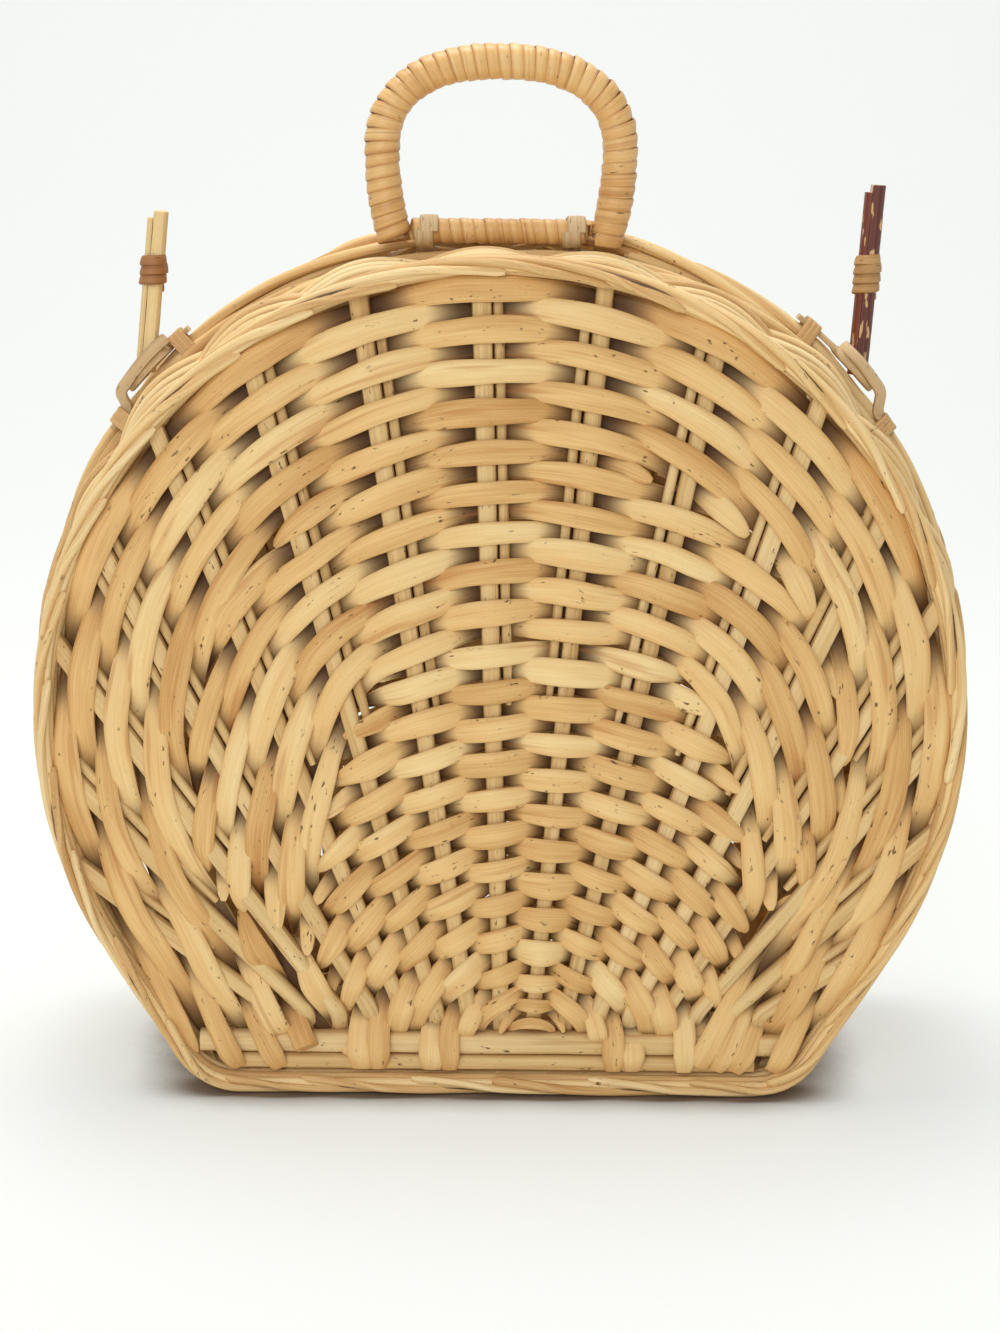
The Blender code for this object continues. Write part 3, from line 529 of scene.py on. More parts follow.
def fan_rows(sizes):
    """Rows round the foot of the fan, inside its outline, from the top downwards."""
    foot = FAN_FOOT
    radii = list(FOOT_RADII)
    outline = fan_outline(sizes)
    top = max(p.y for p in outline) - foot.y
    while radii[-1] + sizes.row_pitch < top:
        radii.append(radii[-1] + sizes.row_pitch)
    rows = []
    for radius in reversed(radii):
        points = []
        floor = ROW_FLOOR if radius > 0.020 else foot.y + 0.3 * radius
        for i in range(0, 437):
            angle = radians(210 - 0.55 * i)
            p = foot + radius * Vector((cos(angle), sin(angle)))
            if abs(angle - pi / 2) > pi / 2:
                drop = radius * (abs(angle - pi / 2) - pi / 2)
                p = foot + Vector((radius if angle < 0 else -radius, -drop))
            away = p - FAN_MIDDLE
            beyond = away.length > (ray_end(FAN_MIDDLE, away, outline) - FAN_MIDDLE).length + 0.001
            if p.y < floor or beyond or gauge(p, EDGE_LOOP) > 1:
                if len(points) > 4:
                    break
                points = []
                continue
            points.append(p)
        if len(points) > 4:
            rows.append((radius, resample(points, POINT_STEP)))
    return rows


def arm_lines():
    """The sixteen arms of the fan as lines from the base rods to beyond the border."""
    lines = []
    for index in range(16):
        foot, aim, direction = rib_line(index)
        lines.append([Vector((foot.x, 0.018)), foot, aim + 0.004 * direction])
    return lines


def meeting(a, b, c, d):
    """How far along a-b it meets c-d, or None."""
    first, second = b - a, d - c
    cross = first.x * second.y - first.y * second.x
    if abs(cross) < 1e-12:
        return None
    along = ((c.x - a.x) * second.y - (c.y - a.y) * second.x) / cross
    other = ((c.x - a.x) * first.y - (c.y - a.y) * first.x) / cross
    return along if 0 <= along < 1 and 0 <= other <= 1 else None


BASE_RODS_MIDDLE = 0.0165
# Beyond its last crossing a strand keeps swinging, one beat in this length
FREE_BEAT = 0.024


def beats_along(row, arms):
    """The beat at each point of a row: whole numbers where it crosses a rib or the base rods."""
    step = running_lengths(row)
    knots = []
    for index, arm in enumerate(arms):
        hits = (
            (i, meeting(row[i], row[i + 1], c, d))
            for i in range(len(row) - 1)
            for c, d in zip(arm, arm[1:])
        )
        first = next((hit for hit in hits if hit[1] is not None), None)
        if first:
            i, share = first
            knots.append((step[i] + share * (step[i + 1] - step[i]), index))
    knots.sort()
    kept = []
    for s, index in knots:
        if not kept or (index < kept[-1][1] and s > kept[-1][0] + 0.004):
            kept.append((s, index))
    if not kept:
        return [8.0] * len(row)
    base = BASE_RODS_MIDDLE
    if row[0].y < base and row[min(12, len(row) - 1)].y > base:
        s = next(step[i] for i in range(len(row)) if row[i].y >= base)
        while len(kept) > 1 and kept[0][0] < s + 0.009:
            kept.pop(0)
        kept.insert(0, (s, kept[0][1] + 1))
    if row[-1].y < base and row[-min(12, len(row))].y > base:
        s = next(step[i] for i in range(len(row) - 1, -1, -1) if row[i].y >= base)
        while len(kept) > 2 and kept[-1][0] > s - 0.009:
            kept.pop()
        kept.append((s, kept[-1][1] - 1))
    beats = []
    j = 0
    for s in step:
        while j < len(kept) - 2 and s > kept[j + 1][0]:
            j += 1
        if len(kept) > 1 and kept[0][0] <= s <= kept[-1][0]:
            (s0, b0), (s1, b1) = kept[j], kept[j + 1]
            beats.append(b0 + (b1 - b0) * (s - s0) / (s1 - s0))
        elif s < kept[0][0]:
            beats.append(kept[0][1] + (kept[0][0] - s) / FREE_BEAT)
        else:
            beats.append(kept[-1][1] - (s - kept[-1][0]) / FREE_BEAT)
    return beats


def face_point(p, side, beat=LYING, size=1.0, lift=0.0):
    """A point of the ribs' middle plane with the way the face looks there."""
    h = 0.004
    slope_x = (rib_depth(p + Vector((h, 0))) - rib_depth(p - Vector((h, 0)))) / (2 * h)
    slope_z = (rib_depth(p + Vector((0, h))) - rib_depth(p - Vector((0, h)))) / (2 * h)
    facing = Vector((-slope_x, side, -slope_z)).normalized()
    return Point(Vector((p.x, side * rib_depth(p), p.y)), facing, beat, size, lift)


# The start of a strand is tucked this deep behind the one before it, over so many points
TUCK = 0.0010
TUCKED_POINTS = 7


def cut_up(points, rng, low, high):
    """A row as strands of real length: each starts behind the tail of the one before it."""
    lengths = running_lengths([p.place for p in points])
    strands = []
    start = 0
    want = rng.uniform(0.35, 1.0) * high
    while True:
        near = [
            i
            for i in range(start + 12, len(points) - 12)
            if abs(lengths[i] - want) < 0.07 and cos(pi * points[i].beat) < -0.96
        ]
        if not near:
            strands.append(points[start:])
            break
        cut = min(near, key=lambda i: abs(lengths[i] - want))
        strands.append(points[start : min(len(points), cut + 4)])
        start = max(start, cut - 5)
        want = lengths[cut] + rng.uniform(low, high)
    for strand in strands[1:]:
        for i, p in enumerate(strand[:TUCKED_POINTS]):
            strand[i] = p._replace(lift=p.lift - TUCK * (1 - i / TUCKED_POINTS))
    return [strand for strand in strands if len(strand) > 3]


# Rows round the fan's foot are thinner inside this radius
THIN_ROWS_RADIUS = 0.035
FREE_END_HEIGHT = 0.014


def face_strands(side, settings, seed):
    """All strands of one face: rows round the arch, then rows round the fan's foot."""
    rng = Random(seed)
    arms = arm_lines()
    strands = []
    rows = [(k, None, row) for k, row in ring_rows(settings)]
    fan = enumerate(fan_rows(settings), settings.ring_rows)
    rows += [(k, radius, row) for k, (radius, row) in fan]
    for number, radius, row in rows:
        if len(row) < 5:
            continue
        beats = beats_along(row, arms)
        points = []
        last = len(row) - 1
        for i, (p, beat) in enumerate(zip(row, beats)):
            size, lift = 1.0, 0.0
            if radius is not None and radius < THIN_ROWS_RADIUS:
                size = 0.52 + 0.35 * radius / THIN_ROWS_RADIUS
            # Free ends thin out and go in under the next row; those at the base are only narrower
            for end, away in ((row[0], i), (row[-1], last - i)):
                if end.y > FREE_END_HEIGHT:
                    size *= 0.24 + 0.76 * sqrt(min(1.0, away / 7))
                    lift -= 0.0026 * (1 - min(1.0, away / 7))
                else:
                    size *= 0.74 + 0.26 * min(1.0, away / 3)
            # Wider bends round the two base rods than round a rib
            wave = cos(pi * (beat + number))
            lift += eased(-p.y, -0.029, -0.019) * (0.0014 * wave - 0.0008)
            points.append(face_point(p, side, beat + number, size, lift))
        strands += cut_up(points, rng, 0.25, 0.45)
    return strands


# Rows of the wall and the rods of the borders

# Spacing of the points along a rod
ROD_STEP = 0.003


def along_loop(loop):
    """A closed loop that starts and ends at the middle of the base, and its lengths."""
    start = min(range(len(loop)), key=lambda i: (loop[i].y > 0.02, abs(loop[i].x)))
    points = loop[start:] + loop[: start + 1]
    return points, running_lengths(points)


def loop_place(points, lengths, s):
    """Place and outward normal at a length along a closed loop."""
    total = lengths[-1]
    s %= total
    low, high = 0, len(lengths) - 1
    while high - low > 1:
        middle = (low + high) // 2
        if lengths[middle] <= s:
            low = middle
        else:
            high = middle
    share = (s - lengths[low]) / max(1e-9, lengths[low + 1] - lengths[low])
    place = points[low].lerp(points[low + 1], share)
    ahead, behind = points[(low + 2) % (len(points) - 1)], points[low - 1 if low else -2]
    tangent = (ahead - behind).normalized()
    normal = Vector((tangent.y, -tangent.x))
    if normal.dot(place - CENTRE) < 0:
        normal = -normal
    return place, normal


def wall_crossings(side, y):
    """Where the ribs' tips and the base stakes cross a row of the wall, along its loop."""
    points, lengths = along_loop(wall_outline(side, y, WALL_RIB_INSET))
    found = []
    for index in range(16):
        foot, _, direction = rib_line(index)
        hit = ray_end(foot, direction, points[:-1])
        i = min(range(len(points) - 1), key=lambda k: (points[k] - hit).length)
        found.append(lengths[i] + (hit - points[i]).dot((points[i + 1] - points[i]).normalized()))
    for x in BASE_STAKES:
        i = min(range(len(points) - 1), key=lambda k: (points[k].y > 0.05, abs(points[k].x - x)))
        found.append(lengths[i])
    return points, lengths, sorted(found)


# The first row's middle, beyond where the wall starts
FIRST_WALL_ROW = 0.0023


def wall_strands(side, settings, seed):
    """Rods woven in and out round the wall, row after row from the seam to the face."""
    rng = Random(seed)
    strands = []
    y = WALL_START + FIRST_WALL_ROW
    number = 0
    while y < WALL_END - 0.0005:
        points, lengths, found = wall_crossings(side, y)
        total = lengths[-1]
        knots = [(s, k) for k, s in enumerate(found)]
        knots = [(found[-1] - total, -1)] + knots + [(found[0] + total, len(found))]
        count = round(total / ROD_STEP)
        row = []
        j = 0
        for i in range(count + 1):
            s = total * i / count
            while s > knots[j + 1][0]:
                j += 1
            (s0, b0), (s1, b1) = knots[j], knots[j + 1]
            beat = b0 + (b1 - b0) * (s - s0) / max(1e-6, s1 - s0)
            place, normal = loop_place(points, lengths, s)
            facing = Vector((normal.x, 0, normal.y))
            row.append(Point(Vector((place.x, side * y, place.y)), facing, beat + number))
        strands += cut_up(row, rng, 0.35, 0.6)
        y += settings.wall_pitch
        number += 1
    return strands


def stake_strands(side):
    """The short stakes inside the wall along the base."""
    strands = []
    for x in BASE_STAKES:
        strand = []
        for i in range(9):
            y = RIM_Y + RIM_RADIUS + 0.001 + (WALL_END - RIM_Y - RIM_RADIUS) * i / 8
            place = Vector((x, side * y, WALL_RIB_INSET + 0.0005))
            strand.append(Point(place, Vector((0, 0, -1))))
        strands.append(strand)
    return strands


def oval_angle(semi, reach):
    """Angle on an oval at a distance from its outward point, positive towards the face."""
    angle = 0.0
    for _ in range(40):
        angle += reach / 40 / hypot(semi[0] * sin(angle), semi[1] * cos(angle))
    return angle


def bundle_strand(loop, side, middle, semi, start, length, reaches, sizes, lifts, beat=0.0, tips=True):
    """A rod that runs along an oval bundle while it moves round its section."""
    points, lengths = loop
    count = max(4, round(length / ROD_STEP))
    strand = []
    for i in range(count + 1):
        share = i / count
        place, normal = loop_place(points, lengths, start + length * share)
        angle = oval_angle(semi, reaches[0] + (reaches[1] - reaches[0]) * share)
        size = sizes[0] + (sizes[1] - sizes[0]) * share
        if tips:
            # A rod ends in the swelling of a bud, cut off short
            size *= (1 + 0.16 * exp(-(((i - 1) / 1.4) ** 2))) * sqrt(min(1.0, (i + 0.35) / 1.35))
            size *= sqrt(min(1.0, (count - i + 0.25) / 1.6))
        lift = lifts[0] + (lifts[1] - lifts[0]) * share
        out = (semi[0] + lift) * cos(angle)
        front = (semi[1] + lift) * sin(angle)
        if normal.y < -0.5:
            out = min(out, semi[0] + 0.0002)
        where = place + normal * out
        level, forward = cos(angle) / semi[0], sin(angle) / semi[1]
        facing = Vector((normal.x * level, side * forward, normal.y * level)).normalized()
        strand.append(Point(Vector((where.x, side * (middle + front), where.y)), facing, beat, size))
    return strand


# How far round its oval a border rod's tip lies, from the outermost line towards the face
TIP_REACH = 0.0122
CORE_RODS = 10
CORE_SPACING = 0.0037
RODS_ABREAST = 6


def border_strands(side, settings, seed):
    """The face border: a core of rods, and rods laid over it whose tips show on the face."""
    rng = Random(seed)
    loop = along_loop(arc_outline(FACE, BORDER_WIDTH / 2))
    total = loop[1][-1]
    middle = SHELL_DEPTH - BORDER_DEPTH / 2
    semi = (BORDER_WIDTH / 2 - 0.0022, BORDER_DEPTH / 2 - 0.0023)
    strands = []
    # Most of the core's rods are given the beat of a hidden strand, so they get painted shade where they
    # show between the outer rods
    for i in range(CORE_RODS):
        reach = CORE_SPACING * (i - CORE_RODS // 2)
        lift = -0.0012 if 1 < i < 9 else -0.0002
        run = (0, total + 0.02, (reach, reach), (1.1, 1.1), (lift, lift))
        beat = 1.0 if 1 < i < 8 else 0.5
        strands.append(bundle_strand(loop, side, middle, semi, *run, beat, tips=False))
    # Each rod comes over the border from the wall; its tip is its clockwise end, on the face
    count = round(total / settings.border_step)
    for i in range(count):
        tip = total * (i + rng.uniform(-0.12, 0.12)) / count
        length = total / count * RODS_ABREAST * rng.uniform(0.94, 1.06)
        first = TIP_REACH + rng.uniform(-0.0007, 0.0007)
        last = TIP_REACH - RODS_ABREAST * settings.border_rod * 1.1
        size = rng.uniform(0.88, 1.12)
        run = (tip, length, (first, last), (size, 0.86 * size), (0.0011, -0.0006))
        strands.append(bundle_strand(loop, side, middle, semi, *run))
    return strands


def rim_strands(side, settings, seed):
    """The rim at the seam: rods twisted loosely round each other."""
    rng = Random(seed)
    loop = along_loop(rim_outline(side, RIM_INSET + RIM_RADIUS))
    total = loop[1][-1]
    semi = (RIM_RADIUS - 0.0021, RIM_RADIUS - 0.0021)
    around = 2 * pi * semi[0]
    turns = round(total / settings.rim_pitch)
    strands = []
    for track in range(3):
        s = rng.uniform(0, 0.15)
        finish = s + total
        while s < finish - 0.02:
            length = min(rng.uniform(0.19, 0.27), finish + 0.012 - s)
            first = around * (track / 3 + turns * s / total)
            last = first + around * turns * length / total
            size = rng.uniform(0.9, 1.1)
            run = (s, length, (first, last), (0.85 * size, 1.05 * size), (-0.0003, 0.0005))
            strands.append(bundle_strand(loop, side, RIM_Y, semi, *run))
            s += length - 0.008
    return strands


# Round members and what is wound on them


def hull(circles, margin):
    """Convex outline round several circles, each (x, y, radius)."""
    points = []
    for x, y, radius in circles:
        for i in range(48):
            angle = 2 * pi * i / 48
            points.append((x + (radius + margin) * cos(angle), y + (radius + margin) * sin(angle)))
    points.sort()

    def half(ordered):
        chain = []
        for p in ordered:
            while len(chain) > 1:
                (ax, ay), (bx, by) = chain[-2:]
                if (bx - ax) * (p[1] - ay) - (by - ay) * (p[0] - ax) > 0:
                    break
                chain.pop()
            chain.append(p)
        return chain[:-1]

    return [Vector(p) for p in half(points) + half(points[::-1])]


def wound_band(circles, margin, frame, turns, travel, first=0.0, step=0.0009):
    """Flat cane wound some turns round parallel members; frame's Z axis runs along them."""
    loop = hull(circles, margin)
    middle = sum(loop, Vector((0, 0))) / len(loop)
    points = loop + [loop[0]]
    lengths = running_lengths(points)
    total = lengths[-1]
    count = round(turns * total / step)
    strand = []
    turned = frame.to_3x3()
    for i in range(count + 1):
        s = (first * total + turns * total * i / count) % total
        j = max(k for k in range(len(lengths)) if lengths[k] <= s + 1e-12)
        j = min(j, len(points) - 2)
        share = (s - lengths[j]) / max(1e-9, lengths[j + 1] - lengths[j])
        p = points[j].lerp(points[j + 1], share)
        before, after = points[j], points[j + 1]
        edge = (after - before).normalized()
        normal = Vector((edge.y, -edge.x))
        if normal.dot(p - middle) < 0:
            normal = -normal
        z = travel * (i / count - 0.5)
        place = frame @ Vector((p.x, p.y, z))
        strand.append(Point(place, (turned @ Vector((normal.x, normal.y, 0))).normalized()))
    facings = [p.facing for p in strand]
    for _ in range(3):
        middle_part = [(a + 2 * b + c).normalized() for a, b, c in zip(facings, facings[1:], facings[2:])]
        facings = [facings[0]] + middle_part + [facings[-1]]
    return [p._replace(facing=f) for p, f in zip(strand, facings)]


def axes(x_axis, y_axis, z_axis, origin):
    """A frame from its three axes and its origin."""
    frame = Matrix((x_axis, y_axis, z_axis)).transposed().to_4x4()
    frame.translation = origin
    return frame


def hoop_line():
    """Centre line of the handle's hoop, from foot to foot."""
    points = []
    foot = BAR_HEIGHT - HOOP_DROP
    shoulder = BAR_HEIGHT + HOOP_SHOULDER
    for i in range(5):
        share = i / 5
        width = HOOP_HALF_WIDTH - HOOP_PINCH * (1 - share) ** 2
        points.append(Vector((-width, 0, foot + (shoulder - foot) * share)))
    rise = HOOP_RISE - HOOP_SHOULDER
    power = 2 / HOOP_SQUARENESS
    for i in range(33):
        angle = pi - pi * i / 32
        x = abs(cos(angle)) ** power * HOOP_HALF_WIDTH
        z = abs(sin(angle)) ** power * rise
        points.append(Vector((x if cos(angle) > 0 else -x, 0, shoulder + z)))
    points += [Vector((-p.x, 0, p.z)) for p in reversed(points[:5])]
    return [p + Vector((HANDLE_X, HANDLE_Y, 0)) for p in points]


TURN_POINTS = 22


def peel_turns(line, radius, pitch, tilt, rng, across):
    """A strip of peel wound round a line in one plane, each turn lapping the one before."""
    line = resample(line, 0.001)
    total = sum((b - a).length for a, b in zip(line, line[1:]))
    turns = total / pitch
    count = round(turns * TURN_POINTS)
    strand = []
    drift = 0.0
    for i in range(count + 1):
        share = i / count
        where = share * (len(line) - 1)
        j = min(len(line) - 2, int(where))
        centre = line[j].lerp(line[j + 1], where - j)
        low, high = max(0, j - 3), min(len(line) - 1, j + 4)
        along = (line[high] - line[low]).normalized()
        out = across.cross(along).normalized()
        if i % TURN_POINTS == 0:
            drift = rng.uniform(-0.00018, 0.00018)
        angle = 2 * pi * turns * share
        radial = out * cos(angle) + across * sin(angle)
        facing = (radial * cos(tilt) + along * sin(tilt)).normalized()
        strand.append(Point(centre + radial * (radius + drift), facing))
    return strand


# The pegs, in the places that their solids have. Arcs run up the rim from the peg's foot, in metres

Peg = namedtuple(
    "Peg", "hand angle lean length lashing turns seat loop_arc loop_reach back_tie hook_arc front_tie"
)
PEGS = {
    "left": Peg(
        hand=-1, angle=radians(41.6), lean=radians(5.8), length=0.064, lashing=0.024, turns=3,
        seat=0.0032, loop_arc=0.0026, loop_reach=0.0091, back_tie=0.0201, hook_arc=0.0075, front_tie=-0.0175,
    ),
    "right": Peg(
        hand=1, angle=radians(42.7), lean=radians(3.2), length=0.075, lashing=0.0355, turns=4,
        seat=0.0022, loop_arc=0.0018, loop_reach=0.0078, back_tie=0.0280, hook_arc=0.0052, front_tie=-0.0198,
    ),
}
PEG_RADIUS = 0.0041
PEG_SPLIT = 0.0015
LASHING_RADIUS = 0.0048
BACK_RIM = BACK_SEAM[0] - RIM_INSET
FRONT_RIM = FRONT_SEAM[0] - RIM_INSET
EYE_RADIUS = 0.0016
EYE_HALF_WIDTH = 0.0062
EYE_LIE = 0.0019


def peg_axis(peg):
    """Where the peg's axis crosses the back rim's line, and which way it leans."""
    foot = Vector((peg.hand * BACK_RIM * cos(peg.angle), 0, CENTRE.y + BACK_RIM * sin(peg.angle)))
    return foot, Vector((sin(peg.lean), 0, cos(peg.lean)))


def on_rim(peg, arc, y, reach):
    """A point at an arc up the rim from the peg's foot, and the rim's outward direction there."""
    turn = peg.angle + arc / BACK_RIM
    outward = Vector((peg.hand * cos(turn), 0, sin(turn)))
    return Vector((0, y, CENTRE.y)) + outward * reach, outward


def half_stick(keep_slat, knife_cut):
    """Section of the peg's main half or of its slat, split along a chord."""
    cut = PEG_SPLIT + (0.00005 if keep_slat else -0.00005)
    reach = acos(cut / PEG_RADIUS)
    low, high = (pi - reach, pi + reach) if keep_slat else (pi + reach, 3 * pi - reach)
    points = []
    for i in range(25):
        angle = low + (high - low) * i / 24
        p = PEG_RADIUS * Vector((cos(angle), sin(angle)))
        p.y = max(p.y, -knife_cut * PEG_RADIUS)
        points.append(p)
    first, last = points[0], points[-1]
    return points + [last.lerp(first, k / 4) for k in (1, 2, 3)]


def whittled(name, section, length, frame, rng, uneven, material):
    """A stick of one section, slightly uneven, with its cut ends' edges worn off."""
    middle = sum(section, Vector((0, 0))) / len(section)
    rings = [0.0, 0.0004] + [length * (j + 0.5) / 32 for j in range(32)] + [length - 0.0004, length]
    phases = [rng.uniform(0, 2 * pi) for _ in range(6)]
    points, grain, bare = [], [], []
    for j, z in enumerate(rings):
        end = j in (0, len(rings) - 1)
        edge = 0.9 if end else 1.0
        around = 0.0
        for i, p in enumerate(section):
            turn = 2 * pi * i / len(section)
            swell = sin(190 * z + phases[0]) * sin(turn + phases[1])
            swell += 0.6 * sin(430 * z + phases[2] + 2 * turn)
            swell += 0.4 * sin(5 * turn + phases[3]) + 0.3 * sin(900 * z + 3 * turn + phases[4])
            q = middle + (p - middle) * edge * (1 + uneven * (swell - 1.5))
            points.append(frame @ Vector((q.x, q.y, z)))
            if i:
                around += (p - section[i - 1]).length
            grain.append((z, around / PEG_RADIUS, phases[5] / 7))
            bare.append(1.0 if end or i > 24 else 0.0)
    count = len(section)
    faces = []
    for j in range(len(rings) - 1):
        for i in range(count):
            k = (i + 1) % count
            faces.append((j * count + i, j * count + k, (j + 1) * count + k, (j + 1) * count + i))
    faces.append(tuple(reversed(range(count))))
    faces.append(tuple((len(rings) - 1) * count + i for i in range(count)))
    mesh = bpy.data.meshes.new(name)
    mesh.from_pydata(points, [], faces)
    values = mesh.attributes.new("grain", "FLOAT_VECTOR", "POINT")
    values.data.foreach_set("vector", [v for g in grain for v in g])
    values = mesh.attributes.new("recess", "FLOAT", "POINT")
    values.data.foreach_set("value", bare)
    mesh.shade_smooth()
    mesh.set_sharp_from_angle(angle=radians(35))
    mesh.materials.append(material)
    return linked_object(name, mesh)


def eye_ribbon(route, peg, low, high):
    """Flat cane along a route: on its edge round the peg, flat where it lies on the rim.

    The route holds (arc, y, reach from the rims' centre); beyond low to high the cane lies flat.
    """
    middle = on_rim(peg, peg.loop_arc, 0, BACK_RIM)[0]
    line = [Vector(p) for p in route]
    line = smoothed(resample(line, 0.0008), 8)
    places = [on_rim(peg, p.x, p.y, p.z) for p in line]
    strand = []
    for i, (place, outward) in enumerate(places):
        before, after = places[max(0, i - 1)][0], places[min(len(places) - 1, i + 1)][0]
        across = outward.cross((after - before).normalized()).normalized()
        if across.dot(place - middle) < 0:
            across = -across
        arc = line[i].x
        flat = max(eased(arc, high, high + 0.006), eased(-arc, -low, 0.006 - low))
        facing = (across * (1 - flat) + outward * flat).normalized()
        strand.append(Point(place, facing))
    return strand


def back_eye_strand(peg):
    """The cane loop round the peg, with both tails on the back rim."""
    spread, lie = EYE_RADIUS + 0.00015, BACK_RIM + EYE_LIE + 0.0004
    tail = (peg.back_tie - 0.0056, peg.back_tie + 0.0062)
    route = [(tail[1], RIM_Y + spread, lie), (tail[0], RIM_Y + spread, lie)]
    for i in range(17):
        turn = pi * (0.5 - i / 16)
        route.append((peg.loop_arc - peg.loop_reach * cos(turn), EYE_HALF_WIDTH * sin(turn), lie))
    route.append((peg.loop_arc + peg.loop_reach + 0.0016, 0.0016 - EYE_HALF_WIDTH, lie))
    route += [(tail[0], RIM_Y - spread, lie), (tail[1], RIM_Y - spread, lie)]
    return eye_ribbon(route, peg, -1.0, peg.loop_arc + peg.loop_reach + 0.001)


def front_eye_strand(peg):
    """The cane hook that comes up from the front rim and passes in front of the peg."""
    hook = BACK_RIM + EYE_LIE + 2 * EYE_RADIUS + 0.0003
    lie = FRONT_RIM + EYE_LIE
    front = -EYE_HALF_WIDTH - 0.0012
    route = [(peg.front_tie - 0.0058, -RIM_Y, lie), (peg.front_tie + 0.0052, -RIM_Y, lie)]
    route.append((peg.loop_arc - peg.loop_reach - 0.0028, front, hook - 0.0012))
    for i in range(9):
        turn = pi / 2 * i / 8
        reach = peg.loop_reach + 0.0005
        route.append((peg.hook_arc + reach * sin(turn), front * cos(turn) - 0.0004, hook))
    return eye_ribbon(route, peg, peg.front_tie + 0.005, 1.0)


def eye_whipping(peg, side, arc, strands, turns):
    """Flat cane wound round a rim and the eye tails that lie on it."""
    rim = BACK_RIM if side > 0 else FRONT_RIM
    turn = peg.angle + arc / rim
    outward = Vector((peg.hand * cos(turn), 0, sin(turn)))
    centre = Vector((0, 0, CENTRE.y)) + outward * (rim - RIM_RADIUS)
    y_axis = Vector((0, 1, 0))
    frame = axes(y_axis, outward, y_axis.cross(outward), centre)
    members = [(side * RIM_Y, 0, RIM_RADIUS + 0.0002)]
    members += [(y, RIM_RADIUS + EYE_LIE, EYE_RADIUS) for y in strands]
    return wound_band(members, 0.0008, frame, turns, 0.0076 * (1 - 0.4 / turns))


# Materials. The attribute "grain" holds length along a strand, place across it and which strand.

# A look has five colours, how many streaks lie across a strand and how fast they change along
# it (both as noise scales), and its surface
# The colour recess is the painted shade where a strand lies behind another; on the pegs it is their bare cut
# wood
Look = namedtuple("Look", "light mid dark stain recess streaks along roughness bump sheen")
# Stains: their scale along and across a strand, and the noise values between which they begin
BLOTS = (16.0, 1.1, 0.60, 0.72)
BARK_FLAKES = (95.0, 1.3, 0.60, 0.64)

# Middle colours, which are the defaults of what a user picks
WILLOW_STRAW = "#E8BD7B"
ROD_STRAW = "#ECC686"
RIB_STRAW = "#DCB87C"
PEEL_HONEY = "#E2B16D"
CORE_WOOD = "#BF9E6C"
CANE_GREY_TAN = "#CCAD7E"
CANE_ORANGE_TAN = "#D5A96C"
PALE_WOOD = "#EDD096"
BARK_RED = "#713728"
LASHING_RUST = "#B27A46"
LASHING_TAN = "#C69A60"
PAPER_GREY = "#B9BAB7"
KNOT_BROWN = "#4E3218"


